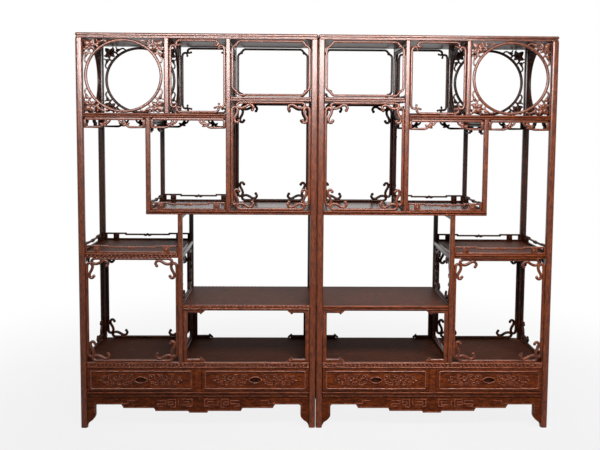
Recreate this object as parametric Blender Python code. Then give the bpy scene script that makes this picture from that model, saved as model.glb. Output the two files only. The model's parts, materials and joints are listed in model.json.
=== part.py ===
"""A pair of mirror-image hardwood display shelves (open curio shelves) with fretwork and drawers.

Metres, +Z up. The pair stands on Z = 0 with its front facing -Y, and X = 0 lies between the two shelves.
Inside one shelf a place is given as (across, depth, height): across runs from the shelf's outer side to its
inner side, depth from its front to its back, and height from the floor.
"""

from math import cos, radians, sin, tau

import bmesh
import bpy
from mathutils import Vector
from mathutils.geometry import delaunay_2d_cdt

# Overall sizes of one shelf, and the gaps
SHELF_WIDTH = 1.078
SHELF_DEPTH = 0.400
SHELF_HEIGHT = 1.800
PAIR_GAP = 0.002
FIT_GAP = 0.0003

# Frame members
POST_SIDE = 0.030
DIVIDER_THICKNESS = 0.022
DIVIDER_RAIL = 0.020
EDGE_ROUND = 0.004

# Boards
TOP_THICKNESS = 0.024
BOARD_THICKNESS = 0.020
DECK_THICKNESS = 0.026
DRAWER_FLOOR_THICKNESS = 0.022

# Clear heights of the openings, the drop of one board below another, and the two lowest boards' upper faces
MOON_ROW_HEIGHT = 0.330
STEPPED_CELL_HEIGHT = 0.254
SCROLL_CELL_HEIGHT = 0.492
SIDE_BOARD_DROP = 0.198
BRACKET_CELL_HEIGHT = 0.246
DECK_TOP = 0.307
DRAWER_FLOOR_TOP = 0.170

# Centre lines of the dividers, measured from the outer side
MOON_PARTITION_AT = 0.402
LONG_DIVIDER_AT = 0.677
SHORT_DIVIDER_AT = 0.3174
LOWER_DIVIDER_AT = 0.4596

# Drawers and the case that holds them
DRAWER_STILE = 0.029
DRAWER_GUIDE = 0.008
DRAWER_RUNNING_GAP = 0.0008
DRAWER_FRONT_THICKNESS = 0.018
DRAWER_FRONT_SETBACK = 0.003
DRAWER_FRONT_GAP = 0.0012
DRAWER_HEAD_ROOM = 0.020
DRAWER_BACK_ROOM = 0.020
DRAWER_WALL = 0.010
DRAWER_BOTTOM = 0.007
CASE_PANEL = 0.012
CASE_SETBACK = 0.006
FINGER_PULL_WIDTH = 0.056
FINGER_PULL_HEIGHT = 0.026
FINGER_PULL_DEPTH = 0.009
FINGER_PULL_SIDES = 24

# Aprons under the drawers
APRON_THICKNESS = 0.018
APRON_SETBACK = 0.003
APRON_DROP = 0.038
APRON_STEP_SLANT = 0.010
APRON_EAR_WIDTH = 0.038
APRON_EAR_FILLET = 0.006

# Steps of an apron's lower edge, as (share of the half span between the ears, drop below the edge)
APRON_STEPS = [(0.75, 0.017), (0.44, 0.031), (0.11, 0.039)]

# Lower end of an apron's ear, as (distance from the post, height above the floor)
APRON_EAR_END = [(0.0, 0.011), (0.001, 0.011), (0.005, 0.021), (0.011, 0.027), (0.025, 0.037),
                 (0.0355, 0.050)]
APRON_EAR_STRAIGHT = 0.060

# Fretwork
FRET_BAR = 0.009
FRET_LAP = 0.002
FRET_THICKNESS = 0.012
FRET_SETBACK = 0.006
RING_INSET = 0.006
RING_SIDES = 44
RING_STEM_ANGLE = 22
RING_BEND_ANGLE = 30
BLOSSOM_RADIUS = 0.016
BLOSSOM_PLACE = 0.040
BLOSSOM_SIDES = 10
HANGING_FRET_HEIGHT = 0.046
HANGING_FRET_BAR_LENGTH = 0.072
HANGING_FRET_LEAF_LENGTH = 0.046
HANGING_FRET_BUD_RADIUS = 0.012
HANGING_FRET_BUD_SIDES = 8
BRACKET_STRIP = 0.018
BRACKET_LENGTH = 0.080
BRACKET_HEIGHT = 0.012
BRACKET_LINK = 0.003
GALLERY_HEIGHT = 0.036
GALLERY_BAR = 0.008
GALLERY_STEP = 0.005
GALLERY_BLOCK = 0.026
GALLERY_END_SHARE = 0.25
GALLERY_SINK = 0.001
ORNAMENT_WIDTH = 0.052
ORNAMENT_HEIGHT = 0.014

# Corner ornaments, as points (distance from the cell's side, distance from its rail)
HOOK = [(0.044, 0.0), (0.036, 0.0015), (0.030, 0.0075), (0.0265, 0.0155), (0.027, 0.0225), (0.033, 0.027),
        (0.039, 0.0245)]
STEPPED_CORNER = [(0.036, 0.0), (0.030, 0.002), (0.026, 0.008), (0.0225, 0.0145), (0.0185, 0.0185)]
LONG_SCROLL = [(0.035, 0.0), (0.0275, 0.0085), (0.0315, 0.0195), (0.047, 0.0255), (0.063, 0.018),
               (0.075, 0.010), (0.087, 0.0085), (0.0965, 0.0155), (0.0985, 0.0255), (0.0935, 0.033)]
UPRIGHT_SCROLL = [(0.0, 0.036), (0.0015, 0.0245), (0.011, 0.0185), (0.0245, 0.0225), (0.0275, 0.037),
                  (0.021, 0.053), (0.0135, 0.066), (0.0115, 0.078), (0.017, 0.087), (0.0265, 0.088),
                  (0.0325, 0.082)]

# Finishes: base colour, roughness
FRAME_WOOD = ((0.165, 0.058, 0.030, 1.0), 0.38)
BOARD_WOOD = ((0.085, 0.034, 0.020, 1.0), 0.34)
FRET_WOOD = ((0.200, 0.075, 0.040, 1.0), 0.36)
DRAWER_WOOD = ((0.175, 0.055, 0.028, 1.0), 0.40)
LINING_WOOD = ((0.300, 0.170, 0.095, 1.0), 0.60)

# Meshing of the flat pieces
MITRE_LIMIT = 0.5
MERGE_DISTANCE = 1e-7
FLAT_ANGLE = radians(0.5)

# Heights of the boards' faces
TOP_UNDERSIDE = SHELF_HEIGHT - TOP_THICKNESS
UPPER_BOARD_TOP = TOP_UNDERSIDE - MOON_ROW_HEIGHT
SHORT_BOARD_TOP = TOP_UNDERSIDE - STEPPED_CELL_HEIGHT
HANGING_BOARD_TOP = SHORT_BOARD_TOP - BOARD_THICKNESS - SCROLL_CELL_HEIGHT
SIDE_BOARD_TOP = HANGING_BOARD_TOP - SIDE_BOARD_DROP
MIDDLE_BOARD_TOP = DECK_TOP + BRACKET_CELL_HEIGHT + BOARD_THICKNESS
DECK_UNDERSIDE = DECK_TOP - DECK_THICKNESS

# Room for the drawers between the case's back, the drawer floor and the deck
CASE_BACK = SHELF_DEPTH - CASE_SETBACK - CASE_PANEL
DRAWER_BOX_START = DRAWER_FRONT_SETBACK + DRAWER_FRONT_THICKNESS + FIT_GAP
DRAWER_BOX_LENGTH = CASE_BACK - DRAWER_BACK_ROOM - DRAWER_BOX_START
DRAWER_BOX_BOTTOM = DRAWER_FLOOR_TOP + DRAWER_RUNNING_GAP
DRAWER_BOX_TOP = DECK_UNDERSIDE - DRAWER_HEAD_ROOM

SIDES = {"left": -1, "right": 1}


def remove_everything():
    for item in list(bpy.data.objects):
        bpy.data.objects.remove(item, do_unlink=True)


def wood(name, finish):
    """A Principled material with one colour and roughness."""
    material = bpy.data.materials.get(name)
    if material is None:
        material = bpy.data.materials.new(name)
        material.use_nodes = True
        shader = material.node_tree.nodes["Principled BSDF"]
        shader.inputs["Base Color"].default_value = finish[0]
        shader.inputs["Roughness"].default_value = finish[1]
        shader.inputs["Metallic"].default_value = 0.0
    return material


class Span:
    """A rectangle of one shelf's front: an opening that a fret fills, or the face of a bar."""

    def __init__(self, left, right, bottom, top):
        self.left, self.right, self.bottom, self.top = left, right, bottom, top
        self.width, self.height = right - left, top - bottom

    def corner(self, at_right, at_top, inset=0.0):
        """A function from (distance from the side, distance from the rail) to a place in the span."""
        def place(point):
            across = inset + point[0]
            down = inset + point[1]
            return (self.right - across if at_right else self.left + across,
                    self.top - down if at_top else self.bottom + down)
        return place

    def corners(self, inset=0.0):
        return [self.corner(right, top, inset) for right in (False, True) for top in (False, True)]


def ribbon(points, width, closed=False):
    """Four-sided pieces of a bar of even width along a line, mitred at its bends."""
    line = [Vector(p) for p in points]
    count = len(line)
    edges = []
    for i, point in enumerate(line):
        before = line[i - 1] if (i > 0 or closed) else None
        after = line[(i + 1) % count] if (i < count - 1 or closed) else None
        run_in = (point - before).normalized() if before is not None else (after - point).normalized()
        run_out = (after - point).normalized() if after is not None else run_in
        across = Vector((-(run_in.y + run_out.y), run_in.x + run_out.x)).normalized()
        stretch = max(across.dot(Vector((-run_out.y, run_out.x))), MITRE_LIMIT)
        half = across * (width / 2 / stretch)
        edges.append((point + half, point - half))
    last = count if closed else count - 1
    pieces = []
    for i in range(last):
        start, end = edges[i], edges[(i + 1) % count]
        pieces.append([start[0], start[1], end[1], end[0]])
    return pieces


def rectangle(left, right, bottom, top):
    return [Vector((left, bottom)), Vector((right, bottom)), Vector((right, top)), Vector((left, top))]


def disc(centre, radius, sides):
    return [Vector((centre[0] + radius * cos(tau * i / sides), centre[1] + radius * sin(tau * i / sides)))
            for i in range(sides)]


def anticlockwise(outline):
    """The outline's points in the order that the union below takes them, also where it was drawn mirrored."""
    doubled_area = sum(a.cross(b) for a, b in zip(outline, outline[1:] + outline[:1]))
    return outline if doubled_area > 0.0 else outline[::-1]


def flat_union(pieces):
    """One flat mesh in (across, height) that covers all the pieces, without inner edges it doesn't need."""
    points, faces = [], []
    for piece in pieces:
        faces.append(list(range(len(points), len(points) + len(piece))))
        points.extend(anticlockwise(piece))
    places, _, triangles, _, _, sources = delaunay_2d_cdt(points, [], faces, 1, MERGE_DISTANCE)
    mesh = bmesh.new()
    corners = {}
    for triangle, source in zip(triangles, sources):
        if source:
            for index in triangle:
                if index not in corners:
                    corners[index] = mesh.verts.new((places[index].x, 0.0, places[index].y))
            mesh.faces.new([corners[index] for index in triangle])
    bmesh.ops.dissolve_limit(mesh, angle_limit=FLAT_ANGLE, verts=mesh.verts, edges=mesh.edges)
    return mesh


def plate(pieces, front, thickness):
    """The pieces as one board standing across the shelf, from front to front + thickness."""
    mesh = flat_union(pieces)
    grown = bmesh.ops.extrude_face_region(mesh, geom=mesh.faces[:])
    moved = [item for item in grown["geom"] if isinstance(item, bmesh.types.BMVert)]
    bmesh.ops.translate(mesh, verts=moved, vec=(0.0, thickness, 0.0))
    bmesh.ops.translate(mesh, verts=mesh.verts, vec=(0.0, front, 0.0))
    bmesh.ops.triangulate(mesh, faces=mesh.faces)
    return mesh


def side_plate(pieces, left, thickness):
    """A plate drawn in (depth, height) that stands along the shelf's depth."""
    mesh = plate(pieces, left, thickness)
    for vert in mesh.verts:
        vert.co = Vector((vert.co.y, vert.co.x, vert.co.z))
    return mesh


def lying_plate(pieces, bottom, thickness):
    """A plate drawn in (across, depth) that lies flat."""
    mesh = plate(pieces, bottom, thickness)
    for vert in mesh.verts:
        vert.co = Vector((vert.co.x, vert.co.z, vert.co.y))
    return mesh


def block(low, high, rounding=0.0):
    """A box between two corners, with chamfered edges where rounding is given."""
    mesh = bmesh.new()
    bmesh.ops.create_cube(mesh, size=1.0)
    low, high = Vector(low), Vector(high)
    bmesh.ops.scale(mesh, vec=high - low, verts=mesh.verts)
    bmesh.ops.translate(mesh, vec=(low + high) / 2, verts=mesh.verts)
    if rounding:
        bmesh.ops.bevel(mesh, geom=mesh.edges, offset=rounding, offset_type="OFFSET", segments=1,
                        profile=0.5, affect="EDGES", material=-1)
    return mesh


class Shelf:
    """Builds the pieces of one shelf of the pair."""

    def __init__(self, side):
        self.side = side
        self.sign = SIDES[side]
        self.base = bpy.data.objects.new(side + "_shelf", None)
        self.base.location = (self.sign * (PAIR_GAP + SHELF_WIDTH) / 2, 0.0, 0.0)
        bpy.context.collection.objects.link(self.base)

    def add(self, name, mesh, finish_name, finish):
        """Turns a mesh in shelf places into a named piece, set at the middle of its own box."""
        for vert in mesh.verts:
            across = PAIR_GAP / 2 + SHELF_WIDTH - vert.co.x
            vert.co = Vector((self.sign * across, vert.co.y - SHELF_DEPTH / 2, vert.co.z))
        mesh.normal_update()
        bmesh.ops.recalc_face_normals(mesh, faces=mesh.faces)
        low = Vector([min(v.co[k] for v in mesh.verts) for k in range(3)])
        high = Vector([max(v.co[k] for v in mesh.verts) for k in range(3)])
        middle = (low + high) / 2
        bmesh.ops.translate(mesh, vec=-middle, verts=mesh.verts)
        data = bpy.data.meshes.new(self.side + "_" + name)
        mesh.to_mesh(data)
        mesh.free()
        data.materials.append(wood(finish_name, finish))
        piece = bpy.data.objects.new(self.side + "_" + name, data)
        piece.parent = self.base
        piece.location = middle - self.base.location
        bpy.context.collection.objects.link(piece)
        return piece

    def combine(self, piece, name, mesh, operation):
        """A Boolean of a piece with another mesh in shelf places. The other mesh stays as a hidden guide."""
        guide = self.add(name, mesh, "guide", FRAME_WOOD)
        guide.hide_render = True
        guide.display_type = "WIRE"
        change = piece.modifiers.new(name, "BOOLEAN")
        change.operation = operation
        change.solver = "EXACT"
        change.object = guide


def notched_board(left, right, outer_notch, inner_notch):
    """Plan of a board that fills the depth and leaves room for the corner posts it meets."""
    gap = POST_SIDE + FIT_GAP
    start = gap if outer_notch else left
    end = SHELF_WIDTH - gap if inner_notch else right
    plan = [rectangle(start, end, 0.0, SHELF_DEPTH)]
    if outer_notch:
        plan.append(rectangle(left, start, gap, SHELF_DEPTH - gap))
    if inner_notch:
        plan.append(rectangle(end, right, gap, SHELF_DEPTH - gap))
    return plan


def divider_frame(bottom, top, rail_tops):
    """A ladder in (depth, height): a front and a back post joined by rails along the depth."""
    post = DIVIDER_THICKNESS
    pieces = [rectangle(0.0, post, bottom, top), rectangle(SHELF_DEPTH - post, SHELF_DEPTH, bottom, top)]
    for rail_top in rail_tops:
        pieces.append(rectangle(0.0, SHELF_DEPTH, rail_top - DIVIDER_RAIL, rail_top))
    return pieces


def moon_gate(span):
    """A ring with a stem, a blossom and two leaves in each corner of its opening."""
    middle = Vector(((span.left + span.right) / 2, (span.bottom + span.top) / 2))
    reach = Vector((span.width / 2 - RING_INSET - FRET_BAR / 2, span.height / 2 - RING_INSET - FRET_BAR / 2))

    def on_ring(degrees):
        return Vector((reach.x * cos(radians(degrees)), reach.y * sin(radians(degrees))))

    ring = [middle + on_ring(360 * i / RING_SIDES) for i in range(RING_SIDES)]
    pieces = ribbon(ring, FRET_BAR, closed=True)
    edge = FIT_GAP + FRET_BAR / 2
    for place in span.corners():
        def from_ring(degrees):
            offset = on_ring(degrees)
            return place((span.width / 2 - offset.x, span.height / 2 - offset.y))
        blossom = place((BLOSSOM_PLACE, BLOSSOM_PLACE))
        side_end = place((edge, span.height / 2 - on_ring(RING_BEND_ANGLE).y))
        rail_end = place((span.width / 2 - on_ring(90 - RING_BEND_ANGLE).x, edge))
        stem = [from_ring(RING_STEM_ANGLE), side_end, place((edge, edge)), rail_end,
                from_ring(90 - RING_STEM_ANGLE)]
        pieces += ribbon(stem, FRET_BAR)
        pieces += ribbon([place((edge, edge)), blossom, from_ring(45)], FRET_BAR)
        pieces += ribbon([side_end, blossom, rail_end], FRET_BAR)
        pieces.append(disc(blossom, BLOSSOM_RADIUS, BLOSSOM_SIDES))
    return pieces


def hooked_frame(span):
    """Four bars whose ends curl in and meet in the corners."""
    inset = FIT_GAP + FRET_BAR / 2
    pieces = []
    for place in span.corners(inset):
        pieces += ribbon([place(p) for p in HOOK], FRET_BAR)
        pieces += ribbon([place((b, a)) for a, b in HOOK], FRET_BAR)
    return pieces + straight_bars(span, inset, HOOK[0][0], HOOK[0][0])


def straight_bars(span, inset, side_length, rail_length):
    """The four straight bars of a frame, between the ends of its corner ornaments."""
    start, end = inset + rail_length - FRET_LAP, inset + side_length - FRET_LAP
    half = FRET_BAR / 2
    pieces = []
    for rail in (span.bottom + inset, span.top - inset):
        pieces.append(rectangle(span.left + start, span.right - start, rail - half, rail + half))
    for side in (span.left + inset, span.right - inset):
        pieces.append(rectangle(side - half, side + half, span.bottom + end, span.top - end))
    return pieces


def stepped_frame(span):
    """A closed frame whose corners step in with two small curves."""
    inset = FIT_GAP + FRET_BAR / 2
    pieces = []
    for place in span.corners(inset):
        half_corner = STEPPED_CORNER + [(b, a) for a, b in reversed(STEPPED_CORNER[:-1])]
        pieces += ribbon([place(p) for p in half_corner], FRET_BAR)
    return pieces + straight_bars(span, inset, STEPPED_CORNER[0][0], STEPPED_CORNER[0][0])


def scroll_frame(span):
    """A frame with a long and an upright scroll in each corner."""
    inset = FIT_GAP + FRET_BAR / 2
    pieces = []
    for place in span.corners(inset):
        pieces += ribbon([place(p) for p in LONG_SCROLL], FRET_BAR)
        pieces += ribbon([place(p) for p in UPRIGHT_SCROLL], FRET_BAR)
    return pieces + straight_bars(span, inset, UPRIGHT_SCROLL[0][1], LONG_SCROLL[0][0])


def hanging_fret(span):
    """Two leafy brackets joined by a strip under a board."""
    half = FRET_BAR / 2
    top = span.top - FIT_GAP
    bar = top - HANGING_FRET_HEIGHT + half
    pieces = [rectangle(span.left + FIT_GAP, span.right - FIT_GAP, top - FRET_BAR, top)]
    for start, way in ((span.left + FIT_GAP, 1), (span.right - FIT_GAP, -1)):
        side = start + way * half
        leaf = start + way * HANGING_FRET_BAR_LENGTH
        tip = leaf + way * HANGING_FRET_LEAF_LENGTH
        pieces += ribbon([(side, top - half), (side, bar - half)], FRET_BAR)
        pieces += ribbon([(start, bar), (leaf, bar), (tip, top - half)], FRET_BAR)
        middle = (leaf + tip) / 2
        pieces.append(disc((middle, (bar + top) / 2), HANGING_FRET_BUD_RADIUS, HANGING_FRET_BUD_SIDES))
    return pieces


def bracket_frame(span):
    """Two side strips with angled brackets at both ends, joined by a thin strip under the board."""
    low, high = span.bottom + FIT_GAP, span.top - FIT_GAP
    pieces = [rectangle(span.left + FIT_GAP, span.right - FIT_GAP, high - BRACKET_LINK, high)]
    for start, way in ((span.left + FIT_GAP, 1), (span.right - FIT_GAP, -1)):
        edge = start + way * BRACKET_STRIP
        pieces.append([Vector(p) for p in ((start, low), (edge, low), (edge, high), (start, high))])
        for rail, turn in ((low, 1), (high, -1)):
            outline = [(start, rail), (start + way * BRACKET_LENGTH, rail),
                       (start + way * (BRACKET_LENGTH - BRACKET_HEIGHT), rail + turn * BRACKET_HEIGHT),
                       (start, rail + turn * BRACKET_HEIGHT)]
            pieces.append([Vector(p) for p in outline])
    return pieces


def gallery(length, floor):
    """A low railing in (along, height): high ends, a lower middle, two small blocks and an ornament."""
    top = floor + GALLERY_HEIGHT
    low_top = top - GALLERY_STEP
    end = length * GALLERY_END_SHARE
    pieces = [rectangle(0.0, length, floor - GALLERY_SINK, floor + GALLERY_BAR)]
    pieces.append(rectangle(end - GALLERY_BAR, length - end + GALLERY_BAR, low_top - GALLERY_BAR, low_top))
    for start, way in ((0.0, 1), (length, -1)):
        sides = sorted((start, start + way * GALLERY_BAR))
        pieces.append(rectangle(sides[0], sides[1], floor, top))
        bar = sorted((start, start + way * end))
        pieces.append(rectangle(bar[0], bar[1], top - GALLERY_BAR, top))
        block_left = start + way * end / 2 - GALLERY_BLOCK / 2
        pieces.append(rectangle(block_left, block_left + GALLERY_BLOCK, floor, top - GALLERY_BAR / 2))
    crown = length / 2
    ornament = [(crown - ORNAMENT_WIDTH / 2, low_top - GALLERY_BAR / 2), (crown, low_top - ORNAMENT_HEIGHT),
                (crown + ORNAMENT_WIDTH / 2, low_top - GALLERY_BAR / 2), (crown, top)]
    pieces.append([Vector(p) for p in ornament])
    return pieces


def apron_outline(length):
    """An apron in (along, height): an ear down each leg and a lower edge that steps down to its middle."""
    top = DRAWER_FLOOR_TOP - DRAWER_FLOOR_THICKNESS - FIT_GAP
    lower = top - APRON_DROP
    pieces = [rectangle(0.0, length, lower, top)]
    half_span = length / 2 - APRON_EAR_WIDTH
    for share, drop in APRON_STEPS:
        reach = half_span * share
        foot = reach - APRON_STEP_SLANT
        step = [(length / 2 - reach, lower), (length / 2 - foot, lower - drop),
                (length / 2 + foot, lower - drop), (length / 2 + reach, lower),
                (length / 2 + reach, top), (length / 2 - reach, top)]
        pieces.append([Vector(p) for p in step])
    ear = APRON_EAR_END + [(APRON_EAR_WIDTH, APRON_EAR_STRAIGHT), (APRON_EAR_WIDTH, lower - APRON_EAR_FILLET),
                           (APRON_EAR_WIDTH + APRON_EAR_FILLET, lower), (APRON_EAR_WIDTH, top), (0.0, top)]
    for start, way in ((0.0, 1), (length, -1)):
        pieces.append([Vector((start + way * out, height)) for out, height in ear])
    return pieces


def build_posts(shelf):
    top = TOP_UNDERSIDE - FIT_GAP
    across = {"outer": 0.0, "inner": SHELF_WIDTH - POST_SIDE}
    depth = {"front": 0.0, "back": SHELF_DEPTH - POST_SIDE}
    for face, front in depth.items():
        for end, left in across.items():
            low = (left, front, 0.0)
            high = (left + POST_SIDE, front + POST_SIDE, top)
            shelf.add(f"{face}_{end}_post", block(low, high, EDGE_ROUND), "post_wood", FRAME_WOOD)


def build_boards(shelf):
    half = DIVIDER_THICKNESS / 2 + FIT_GAP
    right = SHELF_WIDTH
    boards = {
        "upper_board": (0.0, LONG_DIVIDER_AT - half, True, False, UPPER_BOARD_TOP, BOARD_THICKNESS),
        "short_board": (LONG_DIVIDER_AT + half, right, False, True, SHORT_BOARD_TOP, BOARD_THICKNESS),
        "hanging_board": (SHORT_DIVIDER_AT - DIVIDER_THICKNESS / 2, right, False, True,
                          HANGING_BOARD_TOP, BOARD_THICKNESS),
        "side_board": (0.0, LOWER_DIVIDER_AT - half, True, False, SIDE_BOARD_TOP, BOARD_THICKNESS),
        "middle_board": (LOWER_DIVIDER_AT + half, right, False, True, MIDDLE_BOARD_TOP, BOARD_THICKNESS),
        "deck": (0.0, right, True, True, DECK_TOP, DECK_THICKNESS),
    }
    made = {}
    for name, (start, end, outer, inner, top, thickness) in boards.items():
        plan = notched_board(start, end, outer, inner)
        made[name] = shelf.add(name, lying_plate(plan, top - thickness, thickness), "board_wood", BOARD_WOOD)
    top_low, top_high = (0.0, 0.0, TOP_UNDERSIDE), (SHELF_WIDTH, SHELF_DEPTH, SHELF_HEIGHT)
    shelf.add("top_board", block(top_low, top_high, EDGE_ROUND), "board_wood", BOARD_WOOD)
    return made


def build_galleries(shelf, boards):
    """Low railings on three edges of the side board and of the hanging board, joined to the boards."""
    back = SHELF_DEPTH - FRET_SETBACK - FRET_THICKNESS
    gap = POST_SIDE + FIT_GAP
    side_end = LOWER_DIVIDER_AT - DIVIDER_THICKNESS / 2 - FIT_GAP
    hang_start = SHORT_DIVIDER_AT + DIVIDER_THICKNESS / 2 + FIT_GAP
    hang_end = LONG_DIVIDER_AT - DIVIDER_THICKNESS / 2 - FIT_GAP
    runs = {"side_board": (gap, side_end, SIDE_BOARD_TOP, gap, FRET_SETBACK),
            "hanging_board": (hang_start, hang_end, HANGING_BOARD_TOP, DIVIDER_THICKNESS + FIT_GAP,
                              SHORT_DIVIDER_AT - FRET_THICKNESS / 2)}
    for name, (start, end, floor, side_gap, side_place) in runs.items():
        for face, front in (("front", FRET_SETBACK), ("back", back)):
            rail = plate(gallery(end - start, floor), front, FRET_THICKNESS)
            bmesh.ops.translate(rail, vec=(start, 0.0, 0.0), verts=rail.verts)
            shelf.combine(boards[name], f"{name}_{face}_gallery", rail, "UNION")
        rail = side_plate(gallery(SHELF_DEPTH - 2 * side_gap, floor), side_place, FRET_THICKNESS)
        bmesh.ops.translate(rail, vec=(0.0, side_gap, 0.0), verts=rail.verts)
        shelf.combine(boards[name], f"{name}_side_gallery", rail, "UNION")


def build_dividers(shelf):
    half = DIVIDER_THICKNESS / 2
    board = BOARD_THICKNESS
    top = TOP_UNDERSIDE - FIT_GAP
    on_upper = UPPER_BOARD_TOP + FIT_GAP
    on_hanging = HANGING_BOARD_TOP + FIT_GAP
    under_hanging = HANGING_BOARD_TOP - board - FIT_GAP
    under_upper = UPPER_BOARD_TOP - board - FIT_GAP
    on_deck = DECK_TOP + FIT_GAP
    ladders = {
        "long_divider": (LONG_DIVIDER_AT, on_hanging, top, (top, SHORT_BOARD_TOP, UPPER_BOARD_TOP)),
        "short_divider": (SHORT_DIVIDER_AT, on_hanging, under_upper, (under_upper,)),
        "lower_divider": (LOWER_DIVIDER_AT, on_deck, under_hanging,
                          (under_hanging, SIDE_BOARD_TOP, MIDDLE_BOARD_TOP, on_deck + DIVIDER_RAIL)),
    }
    for name, (centre, low, high, rails) in ladders.items():
        frame = side_plate(divider_frame(low, high, rails), centre - half, DIVIDER_THICKNESS)
        shelf.add(name, frame, "divider_wood", FRAME_WOOD)
    inner = Span(DIVIDER_THICKNESS, SHELF_DEPTH - DIVIDER_THICKNESS, on_upper, top)
    gate = divider_frame(on_upper, top, ()) + moon_gate(inner)
    for start, way in ((inner.left, 1), (inner.right, -1)):
        sides = sorted((start - way * FIT_GAP, start + way * 2 * FIT_GAP))
        gate.append(rectangle(sides[0], sides[1], on_upper, top))
    partition = side_plate(gate, MOON_PARTITION_AT - half, DIVIDER_THICKNESS)
    shelf.add("moon_partition", partition, "divider_wood", FRAME_WOOD)


def build_frets(shelf):
    """The fretwork of the front, one piece for each opening."""
    half = DIVIDER_THICKNESS / 2
    board = BOARD_THICKNESS
    inner = SHELF_WIDTH - POST_SIDE
    under_upper = UPPER_BOARD_TOP - board
    frets = {
        "moon_gate_fret": (moon_gate, Span(POST_SIDE, MOON_PARTITION_AT - half,
                                           UPPER_BOARD_TOP, TOP_UNDERSIDE)),
        "hooked_fret": (hooked_frame, Span(MOON_PARTITION_AT + half, LONG_DIVIDER_AT - half,
                                           UPPER_BOARD_TOP, TOP_UNDERSIDE)),
        "stepped_fret": (stepped_frame, Span(LONG_DIVIDER_AT + half, inner, SHORT_BOARD_TOP, TOP_UNDERSIDE)),
        "scroll_fret": (scroll_frame, Span(LONG_DIVIDER_AT + half, inner,
                                           HANGING_BOARD_TOP, SHORT_BOARD_TOP - board)),
        "outer_hanging_fret": (hanging_fret, Span(POST_SIDE, SHORT_DIVIDER_AT - half,
                                                  SIDE_BOARD_TOP, under_upper)),
        "inner_hanging_fret": (hanging_fret, Span(SHORT_DIVIDER_AT + half, LONG_DIVIDER_AT - half,
                                                  HANGING_BOARD_TOP, under_upper)),
        "lower_scroll_fret": (scroll_frame, Span(POST_SIDE, LOWER_DIVIDER_AT - half,
                                                 DECK_TOP, SIDE_BOARD_TOP - board)),
        "bracket_fret": (bracket_frame, Span(LOWER_DIVIDER_AT + half, inner,
                                             DECK_TOP, MIDDLE_BOARD_TOP - board)),
    }
    for name, (pattern, span) in frets.items():
        shelf.add(name, plate(pattern(span), FRET_SETBACK, FRET_THICKNESS), "fret_wood", FRET_WOOD)


def build_base(shelf):
    """The drawer floor with its side and back aprons, the front apron and the drawer case."""
    gap = POST_SIDE + FIT_GAP
    bottom = DRAWER_FLOOR_TOP - DRAWER_FLOOR_THICKNESS
    plan = notched_board(0.0, SHELF_WIDTH, True, True)
    floor = shelf.add("drawer_floor", lying_plate(plan, bottom, DRAWER_FLOOR_THICKNESS),
                      "board_wood", BOARD_WOOD)
    length = SHELF_WIDTH - 2 * gap
    front = plate(apron_outline(length), APRON_SETBACK, APRON_THICKNESS)
    bmesh.ops.translate(front, vec=(gap, 0.0, 0.0), verts=front.verts)
    shelf.add("front_apron", front, "apron_wood", FRAME_WOOD)
    lift = Vector((0.0, 0.0, 2 * FIT_GAP))
    back = plate(apron_outline(length), SHELF_DEPTH - APRON_SETBACK - APRON_THICKNESS, APRON_THICKNESS)
    bmesh.ops.translate(back, vec=lift + Vector((gap, 0.0, 0.0)), verts=back.verts)
    shelf.combine(floor, "back_apron", back, "UNION")
    for end, left in (("outer", APRON_SETBACK), ("inner", SHELF_WIDTH - APRON_SETBACK - APRON_THICKNESS)):
        apron = side_plate(apron_outline(SHELF_DEPTH - 2 * gap), left, APRON_THICKNESS)
        bmesh.ops.translate(apron, vec=lift + Vector((0.0, gap, 0.0)), verts=apron.verts)
        shelf.combine(floor, f"{end}_apron", apron, "UNION")
    shelf.add("drawer_case", drawer_case(), "apron_wood", FRAME_WOOD)


def drawer_case():
    """The sides, back and middle stile around the drawers, drawn in plan and raised to the deck."""
    gap = POST_SIDE + FIT_GAP
    guide = POST_SIDE + DRAWER_GUIDE
    case_end = CASE_BACK + CASE_PANEL
    middle = SHELF_WIDTH / 2
    plan = [rectangle(gap, SHELF_WIDTH - gap, CASE_BACK, case_end),
            rectangle(middle - DRAWER_STILE / 2, middle + DRAWER_STILE / 2, DRAWER_FRONT_SETBACK, CASE_BACK)]
    for mirror in (False, True):
        for left, right, start, end in ((CASE_SETBACK, guide, gap, SHELF_DEPTH - gap),
                                        (gap, guide, DRAWER_BOX_START, case_end)):
            sides = (SHELF_WIDTH - right, SHELF_WIDTH - left) if mirror else (left, right)
            plan.append(rectangle(sides[0], sides[1], start, end))
    bottom = DRAWER_FLOOR_TOP + FIT_GAP
    return lying_plate(plan, bottom, DECK_UNDERSIDE - FIT_GAP - bottom)


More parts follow.
